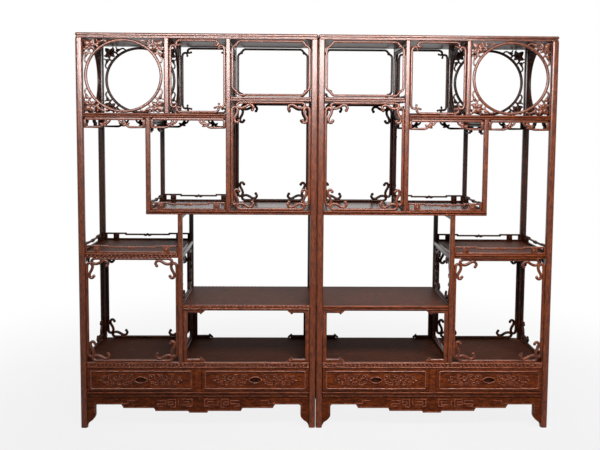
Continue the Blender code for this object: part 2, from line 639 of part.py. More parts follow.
def build_drawers(shelf):
    middle = SHELF_WIDTH / 2
    stile = DRAWER_STILE / 2
    guide = POST_SIDE + DRAWER_GUIDE + DRAWER_RUNNING_GAP
    bays = {"outer": (POST_SIDE, middle - stile, guide, middle - stile - DRAWER_RUNNING_GAP),
            "inner": (middle + stile, SHELF_WIDTH - POST_SIDE, middle + stile + DRAWER_RUNNING_GAP,
                      SHELF_WIDTH - guide)}
    low = DRAWER_BOX_BOTTOM
    for name, (left, right, box_left, box_right) in bays.items():
        back = DRAWER_FRONT_SETBACK + DRAWER_FRONT_THICKNESS
        face = block((left + DRAWER_FRONT_GAP, DRAWER_FRONT_SETBACK, low),
                     (right - DRAWER_FRONT_GAP, back, DECK_UNDERSIDE - DRAWER_FRONT_GAP), EDGE_ROUND / 2)
        front = shelf.add(f"{name}_drawer_front", face, "drawer_wood", DRAWER_WOOD)
        centre = Vector(((left + right) / 2, (low + DECK_UNDERSIDE) / 2))
        oval = [Vector((centre.x + p.x * FINGER_PULL_WIDTH, centre.y + p.y * FINGER_PULL_HEIGHT))
                for p in disc((0.0, 0.0), 0.5, FINGER_PULL_SIDES)]
        reach = DRAWER_FRONT_SETBACK
        pull = plate([oval], DRAWER_FRONT_SETBACK - reach, reach + FINGER_PULL_DEPTH)
        shelf.combine(front, f"{name}_finger_pull", pull, "DIFFERENCE")
        start, end = DRAWER_BOX_START, DRAWER_BOX_START + DRAWER_BOX_LENGTH
        box = block((box_left, start, low), (box_right, end, DRAWER_BOX_TOP))
        tray = shelf.add(f"{name}_drawer_box", box, "lining_wood", LINING_WOOD)
        hollow = block((box_left + DRAWER_WALL, start + DRAWER_WALL, low + DRAWER_BOTTOM),
                       (box_right - DRAWER_WALL, end - DRAWER_WALL, DRAWER_BOX_TOP + DRAWER_WALL))
        shelf.combine(tray, f"{name}_drawer_hollow", hollow, "DIFFERENCE")


def build_shelf(side):
    shelf = Shelf(side)
    build_posts(shelf)
    boards = build_boards(shelf)
    build_galleries(shelf, boards)
    build_dividers(shelf)
    build_frets(shelf)
    build_base(shelf)
    build_drawers(shelf)


remove_everything()
for shelf_side in SIDES:
    build_shelf(shelf_side)
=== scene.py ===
# %% [markdown]
# # A pair of Chinese curio shelves
# Two mirror-image display shelves of dark red hardwood: round-edged posts, boards at uneven heights,
# carved fretwork in the openings and two drawers in each base. The CAD frame gives every place and
# size. The pieces below add what the joiner and the carver did: rolled edges, bent bars, leaves and
# a polished grain.

import json
import math

import bmesh
import bpy
from mathutils import Matrix, Vector

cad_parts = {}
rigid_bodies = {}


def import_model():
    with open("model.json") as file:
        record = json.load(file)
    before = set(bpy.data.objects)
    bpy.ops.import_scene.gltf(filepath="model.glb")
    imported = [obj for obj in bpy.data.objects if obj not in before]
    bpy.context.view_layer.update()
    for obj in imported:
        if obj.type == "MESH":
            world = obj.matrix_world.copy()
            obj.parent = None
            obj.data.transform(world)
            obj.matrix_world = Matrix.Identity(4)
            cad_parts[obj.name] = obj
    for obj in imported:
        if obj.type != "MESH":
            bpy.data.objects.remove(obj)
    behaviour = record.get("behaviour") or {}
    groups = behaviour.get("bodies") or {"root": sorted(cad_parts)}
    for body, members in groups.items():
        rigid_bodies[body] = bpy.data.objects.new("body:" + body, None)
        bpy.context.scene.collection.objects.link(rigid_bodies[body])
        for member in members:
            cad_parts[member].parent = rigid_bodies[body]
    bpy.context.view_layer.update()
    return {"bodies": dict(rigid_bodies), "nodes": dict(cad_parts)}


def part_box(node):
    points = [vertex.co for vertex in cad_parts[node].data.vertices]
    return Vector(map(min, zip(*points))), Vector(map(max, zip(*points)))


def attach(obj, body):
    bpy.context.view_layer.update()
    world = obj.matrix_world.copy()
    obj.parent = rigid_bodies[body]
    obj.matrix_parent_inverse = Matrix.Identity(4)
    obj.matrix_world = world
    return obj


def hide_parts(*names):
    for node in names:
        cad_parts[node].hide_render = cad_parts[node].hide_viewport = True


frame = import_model()

# %% [markdown]
# ## Places
# The two shelves are one design and its mirror image, apart from the edges of two boards. Each could be
# drawn by itself, but that doubles the numbers, so each shape is made once. It is drawn in metres
# across from the shelf's outer side, back from its front and up from the floor. The left shelf takes
# the shape as it is and the right shelf takes it mirrored.

# %% Places in one shelf
TOP_LOW, TOP_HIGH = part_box("left_top_board")
CORNER = Vector((TOP_LOW.x, TOP_LOW.y, 0.0))
WIDTH = TOP_HIGH.x - TOP_LOW.x
DEPTH = TOP_HIGH.y - TOP_LOW.y
TO_LEFT = Matrix.Translation(CORNER)
TO_RIGHT = Matrix.Diagonal((-1.0, 1.0, 1.0, 1.0)) @ TO_LEFT
SHELVES = {"left": TO_LEFT, "right": TO_RIGHT}


def span(node):
    """The lowest and highest corner of one of the left shelf's CAD nodes, in shelf places."""
    low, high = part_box("left_" + node)
    return low - CORNER, high - CORNER


POST = span("front_outer_post")[1].x
DIVIDER = span("long_divider")[1].x - span("long_divider")[0].x
print(f"a shelf is {WIDTH:.3f} m wide and {DEPTH:.3f} m deep, with posts of {POST:.3f} m")

# %% [markdown]
# ## Wood
# The shelves are polished hardwood of the rosewood kind: red-brown, with darker streaks along the grain
# and short open pores. A picture of veneer could be wrapped round every bar, but its seams would show.
# So one node group draws the figure from Object coordinates that a Mapping node stretches along the
# grain, and an upright piece and a lying piece each show their own direction.

# %% The wood's figure as a node group
def math_node(tree, operation, first, second):
    node = tree.nodes.new("ShaderNodeMath")
    node.operation = operation
    for socket, value in zip(node.inputs, (first, second)):
        if isinstance(value, float):
            socket.default_value = value
        else:
            tree.links.new(value, socket)
    return node.outputs[0]


def noise(tree, vector, scale, detail, distortion=0.0):
    node = tree.nodes.new("ShaderNodeTexNoise")
    node.inputs["Scale"].default_value = scale
    node.inputs["Detail"].default_value = detail
    node.inputs["Distortion"].default_value = distortion
    tree.links.new(vector, node.inputs["Vector"])
    return node.outputs["Fac"]


def steep(tree, value, low, high):
    node = tree.nodes.new("ShaderNodeMapRange")
    node.interpolation_type = "SMOOTHSTEP"
    node.inputs["From Min"].default_value = low
    node.inputs["From Max"].default_value = high
    tree.links.new(value, node.inputs["Value"])
    return node.outputs["Result"]


def mixed(tree, factor, first, second):
    node = tree.nodes.new("ShaderNodeMix")
    node.data_type = "RGBA"
    tree.links.new(factor, node.inputs["Factor"])
    tree.links.new(first, node.inputs["A"])
    tree.links.new(second, node.inputs["B"])
    return node.outputs["Result"]


GLOW_SHARE = 0.8
PORE_SHARE = 0.55
STREAK_RELIEF = 0.4


def wood_figure():
    tree = bpy.data.node_groups.new("wood_figure", "ShaderNodeTree")
    tree.interface.new_socket("Vector", in_out="INPUT", socket_type="NodeSocketVector")
    for tone in ("Dark", "Middle", "Light"):
        tree.interface.new_socket(tone, in_out="INPUT", socket_type="NodeSocketColor")
    tree.interface.new_socket("Color", in_out="OUTPUT", socket_type="NodeSocketColor")
    tree.interface.new_socket("Height", in_out="OUTPUT", socket_type="NodeSocketFloat")
    inside = tree.nodes.new("NodeGroupInput").outputs
    result = tree.nodes.new("NodeGroupOutput").inputs
    place = inside["Vector"]
    broad = steep(tree, noise(tree, place, scale=0.55, detail=3.0, distortion=0.6), low=0.32, high=0.68)
    streak = steep(tree, noise(tree, place, scale=1.4, detail=5.0, distortion=0.9), low=0.36, high=0.64)
    pores = steep(tree, noise(tree, place, scale=11.0, detail=2.0), low=0.30, high=0.45)
    tone = mixed(tree, streak, inside["Dark"], inside["Middle"])
    glow = math_node(tree, "MULTIPLY", broad, streak)
    tone = mixed(tree, math_node(tree, "MULTIPLY", glow, GLOW_SHARE), tone, inside["Light"])
    shade = math_node(tree, "MULTIPLY", math_node(tree, "SUBTRACT", 1.0, pores), PORE_SHARE)
    tree.links.new(mixed(tree, shade, tone, inside["Dark"]), result["Color"])
    ridges = math_node(tree, "MULTIPLY", streak, STREAK_RELIEF)
    tree.links.new(math_node(tree, "ADD", pores, ridges), result["Height"])
    return tree


FIGURE = wood_figure()
print("wood figure group with", len(FIGURE.nodes), "nodes")

# %% [markdown]
# ## Finishes
# The same wood looks different from place to place. The posts and front rails are polished, the boards
# are duller from use, and the drawer boxes are pale raw wood. The carving is paler, partly as rubbed wear
# and partly as a painted highlight where light would catch its raised edges. The pieces at the back and the
# pieces along the depth are the same wood painted darker, as painted shade. Each finish could have nodes of
# its own. One function is shorter: it puts the figure on a Principled shader, with three tones, a grain
# direction, a roughness and a shine.

# %% Wood materials
PORE_STRENGTH = 0.10
PORE_DEPTH = 0.0004
ALONG = 28.0
ACROSS = 100.0
GRAIN = {"up": (ACROSS, ACROSS, ALONG), "across": (ALONG, ACROSS, ACROSS),
         "deep": (ACROSS, ALONG, ACROSS), "small": (60.0, 60.0, 24.0)}
# The dark, middle and light tone of each wood.
RED = ((0.064, 0.0103, 0.0017), (0.125, 0.0234, 0.0039), (0.209, 0.0451, 0.0098))
# Painted shade: the shaded tones darken the same red wood for the pieces at the back and along the depth.
PAINTED_SHADE = ((0.018, 0.0042, 0.0016), (0.042, 0.0098, 0.0036), (0.066, 0.0160, 0.0062))
# Partly painted highlight: the worn tones stand for rubbed wear and for light caught on raised carving.
WORN_AND_HIGHLIT = ((0.120, 0.0264, 0.0096), (0.197, 0.0528, 0.0237), (0.262, 0.0800, 0.0382))
DULL = ((0.038, 0.0065, 0.0011), (0.090, 0.0165, 0.0028), (0.143, 0.0286, 0.0057))
RUDDY = ((0.049, 0.0084, 0.0014), (0.116, 0.0212, 0.0036), (0.183, 0.0367, 0.0074))
BROWN = ((0.028, 0.0080, 0.0038), (0.056, 0.0150, 0.0066), (0.086, 0.0240, 0.0100))
DEEP = ((0.024, 0.0077, 0.0041), (0.039, 0.0126, 0.0065), (0.057, 0.0190, 0.0098))
PALE = ((0.240, 0.1150, 0.0480), (0.420, 0.2300, 0.1050), (0.540, 0.3300, 0.1700))


def wood(name, tones, grain, roughness, shine):
    material = bpy.data.materials.new(name)
    material.use_nodes = True
    tree = material.node_tree
    surface = tree.nodes["Principled BSDF"]
    places = tree.nodes.new("ShaderNodeTexCoord")
    stretch = tree.nodes.new("ShaderNodeMapping")
    stretch.inputs["Scale"].default_value = GRAIN[grain]
    figure = tree.nodes.new("ShaderNodeGroup")
    figure.node_tree = FIGURE
    for socket, tone in zip(("Dark", "Middle", "Light"), tones):
        figure.inputs[socket].default_value = (*tone, 1.0)
    bump = tree.nodes.new("ShaderNodeBump")
    bump.inputs["Strength"].default_value = PORE_STRENGTH
    bump.inputs["Distance"].default_value = PORE_DEPTH
    tree.links.new(places.outputs["Object"], stretch.inputs["Vector"])
    tree.links.new(stretch.outputs["Vector"], figure.inputs["Vector"])
    tree.links.new(figure.outputs["Color"], surface.inputs["Base Color"])
    tree.links.new(figure.outputs["Height"], bump.inputs["Height"])
    tree.links.new(bump.outputs["Normal"], surface.inputs["Normal"])
    surface.inputs["Roughness"].default_value = roughness
    surface.inputs["Specular IOR Level"].default_value = shine
    return material


UPRIGHT = wood("upright_wood", RED, "up", 0.32, 0.32)
RAIL = wood("rail_wood", RED, "across", 0.36, 0.11)
TOP_RAIL = wood("top_rail_wood", RED, "across", 0.34, 0.40)
LOW_RAIL = wood("low_rail_wood", RED, "across", 0.36, 0.10)
DEEP_RAIL = wood("deep_rail_wood", RED, "deep", 0.33, 0.16)
FRET = wood("fret_wood", RED, "small", 0.36, 0.27)
# The carving woods take the worn tones: partly rubbed wear and partly painted highlight.
RAISED = wood("raised_carving_wood", WORN_AND_HIGHLIT, "across", 0.30, 0.15)
CARVING = wood("carving_wood", WORN_AND_HIGHLIT, "across", 0.24, 0.30)
# The back woods take the shaded tones, which are painted shade.
SHADE_BACK_UPRIGHT = wood("back_upright_painted_shade_wood", PAINTED_SHADE, "up", 0.25, 0.20)
SHADE_BACK_RAIL = wood("back_rail_painted_shade_wood", PAINTED_SHADE, "across", 0.30, 0.07)
SHADE_BACK_FRET = wood("back_fret_painted_shade_wood", PAINTED_SHADE, "small", 0.30, 0.07)
BOARD = wood("board_wood", BROWN, "across", 0.50, 0.06)
POLISHED = wood("polished_board_wood", BROWN, "across", 0.22, 0.30)
CEILING = wood("top_panel_wood", BROWN, "across", 0.30, 0.04)
DECK = wood("deck_wood", DEEP, "across", 0.60, 0.02)
DRAWER = wood("drawer_wood", RUDDY, "across", 0.33, 0.10)
APRON = wood("apron_wood", DULL, "across", 0.33, 0.08)
LINING = wood("lining_wood", PALE, "across", 0.60, 0.30)
print(FIGURE.users, "woods show the figure")

# %% [markdown]
# ## Blocks
# Most of a shelf is planed blocks with their edges rounded over, and posts whose faces swell a little.
# A Bevel modifier could round them all. The bevel operator is used instead, because it takes a choice
# of edges: a post has only its standing edges rounded.

# %% Blocks
def join(shape, *parts):
    """Puts small shapes into a larger one."""
    for part in parts:
        mesh = bpy.data.meshes.new("part")
        part.to_mesh(mesh)
        part.free()
        shape.from_mesh(mesh)
        bpy.data.meshes.remove(mesh)
    return shape


def moved(shape, across=0.0, back=0.0, up=0.0):
    bmesh.ops.translate(shape, vec=(across, back, up), verts=shape.verts)
    return shape


def block(low, high, rounding=0.0, segments=3):
    """A cube between two corners, with all its edges rounded over."""
    low, high = Vector(low), Vector(high)
    shape = bmesh.new()
    place = Matrix.Translation((low + high) / 2) @ Matrix.Diagonal((high - low).to_4d())
    bmesh.ops.create_cube(shape, size=1.0, matrix=place)
    if rounding:
        bmesh.ops.bevel(shape, geom=shape.edges, offset=rounding, offset_type="OFFSET", segments=segments,
                        profile=0.5, affect="EDGES", clamp_overlap=True, material=-1)
    return shape


LEVEL = 0.001


def rise(line):
    """How far one end of an edge lies above its other end."""
    return abs(line.verts[0].co.z - line.verts[1].co.z)


def upright(low, high, share=0.46, profile=0.66):
    """A standing bar with its long edges rounded so far that each of its faces swells a little."""
    shape = block(low, high)
    standing = [line for line in shape.edges if rise(line) > LEVEL]
    bmesh.ops.bevel(shape, geom=standing, offset=share * (high[0] - low[0]), offset_type="OFFSET",
                    segments=8, profile=profile, affect="EDGES", clamp_overlap=True, material=-1)
    return shape


print("blocks and uprights ready")

# %% [markdown]
# ## Bars
# The fretwork is thin bars, sawn to a drawn line and rounded with files. A bevelled curve could follow
# such a line. Here a small circle is pushed along it ring by ring instead, which gives a closed mesh
# with a squarish rounded section that thins out towards its ends.

# %% Bars along a line
def smooth(points, steps=5):
    """Places along a smooth curve through the points."""
    points = [Vector(point) for point in points]
    padded = [points[0]] + points + [points[-1]]
    route = []
    for a, b, c, d in zip(padded, padded[1:], padded[2:], padded[3:]):
        for step in range(steps):
            t = step / steps
            bend = (2 * a - 5 * b + 4 * c - d) * t + (3 * b - a - 3 * c + d) * t * t
            route.append(b + ((c - a) + bend) * t / 2)
    return route + [points[-1]]


def rounded(points, radius, steps=3):
    """Straight lines through the points, with the corners rounded off."""
    points = [Vector(point) for point in points]
    route = [points[0]]
    for before, corner, after in zip(points, points[1:], points[2:]):
        start = corner + (before - corner).normalized() * radius
        end = corner + (after - corner).normalized() * radius
        for step in range(steps + 1):
            t = step / steps
            route.append(start.lerp(corner, t).lerp(corner.lerp(end, t), t))
    return route + [points[-1]]


def rod(route, width, thickness, closed=False, sides=12, ends=(0.7,), square=3.0):
    """A rounded bar along a route of (across, up) places. Ends gives its share of the full size there."""
    shape = bmesh.new()
    ring = bmesh.ops.create_circle(shape, segments=sides, radius=0.5)["verts"]
    for vert in ring:
        vert.co *= 0.5 / (abs(vert.co.x) ** square + abs(vert.co.y) ** square) ** (1.0 / square)
    first = edges = shape.edges[:]
    at = Matrix.Identity(4)
    last = len(route) - 1
    for i, place in enumerate(route):
        if i:
            made = bmesh.ops.extrude_edge_only(shape, edges=edges)["geom"]
            ring = [part for part in made if isinstance(part, bmesh.types.BMVert)]
            edges = [part for part in made if isinstance(part, bmesh.types.BMEdge) and part.is_boundary]
        before = route[i - 1] if closed or i else place
        after = route[(i + 1) % len(route)] if closed or i < last else place
        way = (after - before).normalized()
        near = min(i, last - i)
        share = 1.0 if closed or near >= len(ends) else ends[near]
        wide, thick = width * share, thickness * share
        turn = Matrix(((way.y * wide, 0.0, way.x), (0.0, thick, 0.0), (-way.x * wide, 0.0, way.y)))
        to = Matrix.Translation((place.x, 0.0, place.y)) @ turn.to_4x4()
        bmesh.ops.transform(shape, matrix=to @ at.inverted(), verts=ring)
        at = to
    if closed:
        bmesh.ops.bridge_loops(shape, edges=first + edges)
    else:
        bmesh.ops.edgeloop_fill(shape, edges=first + edges)
    return shape


def bead(centre, across, up, thickness):
    """A small flattened ball at an (across, up) place."""
    shape = bmesh.new()
    place = Matrix.Translation((centre[0], 0.0, centre[1])) @ Matrix.Diagonal((across, thickness, up, 1.0))
    bmesh.ops.create_uvsphere(shape, u_segments=8, v_segments=5, radius=0.5, matrix=place)
    return shape


print("bars and beads ready")

# %% [markdown]
# ## Setting pieces in place
# Each piece was cut once for the left shelf and once, mirrored, for the right one. A Mirror modifier could
# show that, but the two would be one object, and drawers on both sides have to move by themselves. So a
# shape is copied for each shelf with its place in its mesh. Mirroring turns a mesh inside out, so the
# copy's normals are worked out again.

# %% Setting a shape into both shelves
SHARP_ANGLE = math.radians(50.0)


def set_piece(name, shape, material, body="cabinets", nodes=(), sides=tuple(SHELVES)):
    """Makes an object of a shape in each shelf, hung on its body, in place of the CAD nodes it shows."""
    for side in sides:
        copy = shape.copy()
        bmesh.ops.transform(copy, matrix=SHELVES[side], verts=copy.verts)
        bmesh.ops.recalc_face_normals(copy, faces=copy.faces)
        mesh = bpy.data.meshes.new(f"{side}_{name}")
        copy.to_mesh(mesh)
        copy.free()
        mesh.shade_smooth()
        mesh.set_sharp_from_angle(angle=SHARP_ANGLE)
        mesh.materials.append(material)
        piece = bpy.data.objects.new(mesh.name, mesh)
        bpy.context.scene.collection.objects.link(piece)
        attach(piece, body if body in frame["bodies"] else f"{side}_{body}")
        if nodes:
            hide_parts(*[f"{side}_{node}" for node in nodes])
    print(f"{name}: {len(shape.faces)} faces, {' and '.join(sides)}")
    shape.free()


print("pieces are set in", " and ".join(SHELVES))

# %% [markdown]
# ## Posts and dividers
# The four corner posts run from the floor to the top board. They are square lengths with well rounded
# edges. A subdivided box could be as round, but a block with a wide bevel keeps its true size. The
# dividers between the openings are lighter ladders: a thin post at the front, one at the back, and rails
# between them. The back posts, with the dividers' rails, are pieces of their own because their wood is
# painted darker as painted shade.

# %% Posts and dividers
RAIL_HEIGHT = 0.020
RAIL_INSET = 0.001
RAIL_ROUNDING = 0.004

# The back posts take the wood painted darker as painted shade.
for face, material in (("front", UPRIGHT), ("back", SHADE_BACK_UPRIGHT)):
    for end in ("outer", "inner"):
        node = f"{face}_{end}_post"
        set_piece(node, upright(*span(node)), material, nodes=[node])


def divider(node, rail_tops):
    """A front post, and a back post with rails along the depth between the two."""
    low, high = span(node)
    front = upright(low, Vector((high.x, low.y + DIVIDER, high.z)))
    set_piece(node, front, UPRIGHT, nodes=[node])
    back = upright(Vector((low.x, high.y - DIVIDER, low.z)), high)
    for top in rail_tops:
        join(back, block((low.x + RAIL_INSET, low.y + DIVIDER / 2, top - RAIL_HEIGHT),
                         (high.x - RAIL_INSET, high.y - DIVIDER / 2, top), RAIL_ROUNDING))
    # The back post and its rails take the wood painted darker as painted shade.
    set_piece(f"{node}_back", back, SHADE_BACK_UPRIGHT)


UNDER_TOP = span("long_divider")[1].z
UPPER_TOP = span("upper_board")[1].z
SHORT_TOP = span("short_board")[1].z
MIDDLE_TOP = span("middle_board")[1].z
UNDER_HANGING = span("lower_divider")[1].z
ON_DECK = span("lower_divider")[0].z
GALLERY = 0.036
SIDE_TOP = span("side_board")[1].z - GALLERY
HANGING_TOP = span("hanging_board")[1].z - GALLERY
divider("long_divider", (UNDER_TOP, SHORT_TOP, UPPER_TOP))
divider("short_divider", (span("short_divider")[1].z,))
divider("lower_divider", (UNDER_HANGING, SIDE_TOP, MIDDLE_TOP, ON_DECK + RAIL_HEIGHT))
divider("moon_partition", ())

# %% [markdown]
# ## Moulded edges
# The boards have moulded edges. Most show a broad roll above a thin roll. The decks, and the two lower
# boards of the left shelf, show a row of slanted beads like a rope. A profile swept along the edge
# could make the rolls, but not the rope. So the rolls are rounded blocks before a plain core, and each
# bead of the rope is a small flattened ball.

# %% Moulded edges
EDGE_DEPTH = 0.016
BROAD_ROLL_FROM = 0.44
THIN_ROLL_TO = 0.34
THIN_ROLL_BACK = 0.0012
CORE_BACK = 0.005
BROAD_ROUNDING = 0.25
THIN_ROUNDING = 0.16
CORE_MARGIN = 0.1
ROPE_PITCH = 0.0180
ROPE_SLANT = math.radians(44.0)
ROPE_BEAD = (0.0098, 0.0110)
ROPE_OVERLAP = 1.40
ROPE_CENTRE = 0.0048
ROPE_GROUND = 0.0075
ROPE_RECESS = 0.0090
ROPE_ROLL_ROUNDING = 0.42
THINNEST_ROLL = 0.002
LAP = 0.001


def rope(length, height):
    """A row of slanted beads along an edge, in (across, up) from the middle of its left end."""
    shape = bmesh.new()
    count = round(length / ROPE_PITCH)
    slant = Matrix.Rotation(ROPE_SLANT, 4, "Y")
    size = Matrix.Diagonal((*ROPE_BEAD, height * ROPE_OVERLAP, 1.0))
    for i in range(count):
        place = Matrix.Translation(((i + 0.5) * length / count, 0.0, 0.0)) @ slant @ size
        bmesh.ops.create_uvsphere(shape, u_segments=8, v_segments=5, radius=0.5, matrix=place)
    return shape


def edge(length, low, high, roped):
    """A moulded edge that faces the front, from its left end, with its face at depth 0."""
    height = high - low
    if roped:
        start, end = (low + share * height for share in roped)
        shape = moved(rope(length, end - start), 0.0, ROPE_CENTRE, (start + end) / 2)
        join(shape, block((0.0, ROPE_GROUND, start - LAP), (length, EDGE_DEPTH, end)))
        for below, above in ((low, start), (end, high)):
            if above - below > THINNEST_ROLL:
                rounding = ROPE_ROLL_ROUNDING * (above - below)
                join(shape, block((0.0, 0.0, below), (length, EDGE_DEPTH, above), rounding, 4))
        return shape
    margin = CORE_MARGIN * height
    broad = block((0.0, 0.0, low + BROAD_ROLL_FROM * height), (length, EDGE_DEPTH, high),
                  BROAD_ROUNDING * height, 5)
    thin = block((0.0, THIN_ROLL_BACK, low), (length, EDGE_DEPTH, low + THIN_ROLL_TO * height),
                 THIN_ROUNDING * height, 4)
    core = block((0.0, CORE_BACK, low + margin), (length, EDGE_DEPTH, high - margin))
    return join(core, broad, thin)


def turned(shape, quarter_turns, across, back):
    """A shape turned about the vertical by quarter turns and set at a place."""
    turn = Matrix.Translation((across, back, 0.0)) @ Matrix.Rotation(quarter_turns * math.pi / 2, 4, "Z")
    bmesh.ops.transform(shape, matrix=turn, verts=shape.verts)
    return shape


print("moulded edges ready, with a rope bead every", ROPE_PITCH, "m")

# %% [markdown]
# ## Boards
# Each board fills the depth, is notched round the posts and has its moulding where no post or divider
# closes it. It could be one mesh, but its flat is duller than its edge, and the back edge is painted darker
# than the front one as painted shade. So the flat, the front rail, the back rail and the ends are pieces
# with their own woods.

# %% Making a board
SEAM = 0.0004


def board(node, low, high, roped=(), material=BOARD, plain=(), rail_wood=RAIL):
    """A board between two corners, with moulded edges where no post or divider closes it."""
    outer = low.x < POST
    inner = high.x > WIDTH - POST
    start = low.x + POST if outer else low.x
    end = high.x - POST if inner else high.x
    lower, upper = low.z + SEAM, high.z - SEAM
    recess = ROPE_RECESS if roped else EDGE_DEPTH / 2
    shape = block((low.x + (recess if outer else 0.0), POST, lower),
                  (high.x - (recess if inner else 0.0), DEPTH - POST, upper))
    join(shape, block((start, recess, lower + SEAM / 2), (end, DEPTH - recess, upper - SEAM / 2)))
    set_piece(node, shape, material, nodes=[node])
    for side in SHELVES:
        beads = () if side in plain else roped
        rail = edge(end - start, low.z, high.z, beads)
        far = turned(rail.copy(), 2, end, DEPTH)
        # Roped edges take the paler carving wood, partly wear and partly painted highlight.
        finish = RAISED if beads else rail_wood
        set_piece(f"{node}_rail", moved(rail, start), finish, sides=[side])
        # The back rail is painted darker as painted shade.
        set_piece(f"{node}_back_rail", far, SHADE_BACK_RAIL, sides=[side])
        ends = bmesh.new()
        for shown, turns, across, back in ((outer, 3, low.x, DEPTH - POST), (inner, 1, high.x, POST)):
            if shown:
                join(ends, turned(edge(DEPTH - 2 * POST, low.z, high.z, beads), turns, across, back))
        set_piece(f"{node}_ends", ends, DEEP_RAIL, sides=[side])


def slab(low, high, corner, rounding):
    """A lying board with its four corners rounded and a roll all round its edge."""
    shape = upright(low, high, corner / (high[0] - low[0]), 0.5)
    rim = [line for line in shape.edges if rise(line) < LEVEL]
    bmesh.ops.bevel(shape, geom=rim, offset=rounding, offset_type="OFFSET", segments=4, profile=0.5,
                    affect="EDGES", clamp_overlap=True, material=-1)
    return shape


print("board maker ready")

# %% [markdown]
# ## The boards of a shelf
# Six boards lie at uneven heights. The deck is roped on both shelves, and the middle and side boards on
# the left one only, so the right shelf is named as plain instead of drawn again. The CAD solids of the
# side board and the hanging board reach up to the top of their railing, so these two boards end lower
# by its height.

# %% The boards
board("upper_board", *span("upper_board"))
board("short_board", *span("short_board"), rail_wood=TOP_RAIL)
board("middle_board", *span("middle_board"), roped=(0.40, 1.0), plain=("right",), rail_wood=LOW_RAIL)
board("deck", *span("deck"), roped=(0.26, 0.72), material=DECK)
low, high = span("side_board")
railing = Vector((0.0, 0.0, GALLERY))
board("side_board", low, high - railing, roped=(0.0, 0.62), plain=("right",), rail_wood=LOW_RAIL)
low, high = span("hanging_board")
board("hanging_board", low, high - railing, material=POLISHED)

# %% [markdown]
# ## The top
# The top is a panel in a frame with a rolled rim. One bevelled block would have its outline, but its
# parts are finished differently: the rim is polished, and the panel's upper face and its underside are
# duller. So they are three pieces, and the upper face lies a hair above the flat of the rim.

# %% The top
RIM = Vector((0.010, 0.010, 0.0))
LOWER_ROLL_INSET = Vector((0.0015, 0.0015, 0.0))
CORE_INSET = Vector((0.005, 0.005, 0.004))
TOP_CORNER = 0.008
UPPER_ROLL_FROM = 0.42
LOWER_ROLL_DOWN = 0.66
LOWER_ROLL_ROUNDING = 0.003
CORE_CORNER = 0.006
CORE_ROUNDING = 0.001

low, high = span("top_board")
height = high.z - low.z
half = Vector((0.0, 0.0, height / 2))
inset = Vector((EDGE_DEPTH, EDGE_DEPTH, 0.0))
panel = block(low + inset, high - inset - half)
set_piece("top_board", panel, CEILING, nodes=["top_board"])
face = block(low + RIM + half, high - RIM + Vector((0.0, 0.0, SEAM)))
set_piece("top_board_face", face, BOARD)
roll_low = low + Vector((0.0, 0.0, UPPER_ROLL_FROM * height))
roll = slab(roll_low, high, TOP_CORNER, BROAD_ROUNDING * height)
lower_low = low + LOWER_ROLL_INSET + Vector((0.0, 0.0, SEAM))
lower_high = high - LOWER_ROLL_INSET - Vector((0.0, 0.0, LOWER_ROLL_DOWN * height))
lower_roll = slab(lower_low, lower_high, TOP_CORNER, LOWER_ROLL_ROUNDING)
core = slab(low + CORE_INSET, high - CORE_INSET, CORE_CORNER, CORE_ROUNDING)
set_piece("top_board_rails", join(roll, lower_roll, core), TOP_RAIL)

# %% [markdown]
# ## Corner fretwork
# Most openings have a thin frame of bent bars just inside the posts. The bars were sawn from thin stock
# to the drawn line and rounded. A plate cut to the same outline would look flat, so every bar is a rod.
# Its ends follow points measured from the opening's corner: small hooks, an indented corner or paired
# scrolls.

# %% Bent frames
BAR = 0.0108
BAR_DEPTH = 0.0120
BULB_DEPTH = BAR_DEPTH * 1.05
CURLED = (0.72, 0.74, 0.78, 0.84, 0.90, 0.96)
SCROLL_BAR = 0.0130
BULB = 0.0155
HOOK_BULB = 0.0115
STEP_BULB = 0.0120
STEP_AT = (0.0260, 0.0260)
RAIL_HOOK = [(0.059, 0.0058), (0.044, 0.0068), (0.0355, 0.0120), (0.0320, 0.0200), (0.0380, 0.0275),
             (0.0490, 0.0250)]
SIDE_HOOK = [(0.0058, 0.057), (0.0062, 0.044), (0.0100, 0.0320), (0.0190, 0.0275), (0.0280, 0.0300),
             (0.0305, 0.0420)]
INDENT = [(0.050, 0.0072), (0.041, 0.0076), (0.0335, 0.0115), (0.0285, 0.0180), (0.0230, 0.0230)]
RAIL_SCROLL = [(0.052, 0.0050), (0.040, 0.0056), (0.0290, 0.0125), (0.0285, 0.0215), (0.0370, 0.0290),
               (0.0520, 0.0295), (0.0660, 0.0235), (0.0780, 0.0160), (0.0900, 0.0145), (0.0990, 0.0210),
               (0.1015, 0.0300), (0.0965, 0.0380)]
SIDE_SCROLL = [(0.0050, 0.054), (0.0060, 0.041), (0.0085, 0.0310), (0.0170, 0.0255), (0.0265, 0.0300),
               (0.0310, 0.0420), (0.0270, 0.0570), (0.0195, 0.0705), (0.0165, 0.0830), (0.0215, 0.0930),
               (0.0320, 0.0930), (0.0365, 0.0860)]


def from_corner(points, size, right, top):
    """Points measured from a corner of an opening, as places from its lower left corner."""
    return [Vector((size.x - x if right else x, size.y - z if top else z)) for x, z in points]


def bent_frame(size, rail_end, side_end, width, bulb):
    """Four bars round an opening, each bent at both ends and closed by a small bulb."""
    shape = bmesh.new()
    bars = []
    for top in (False, True):
        left, right = (smooth(from_corner(rail_end, size, end, top)) for end in (False, True))
        bars.append(left[::-1] + right)
    for right in (False, True):
        low, high = (smooth(from_corner(side_end, size, right, end)) for end in (False, True))
        bars.append(low[::-1] + high)
    for bar in bars:
        join(shape, rod(bar, width, BAR_DEPTH, ends=CURLED))
        for end in (bar[0], bar[-1]):
            join(shape, bead(end, bulb, bulb, BULB_DEPTH))
    return shape


def hooked_frame(size):
    return bent_frame(size, RAIL_HOOK, SIDE_HOOK, BAR, HOOK_BULB)


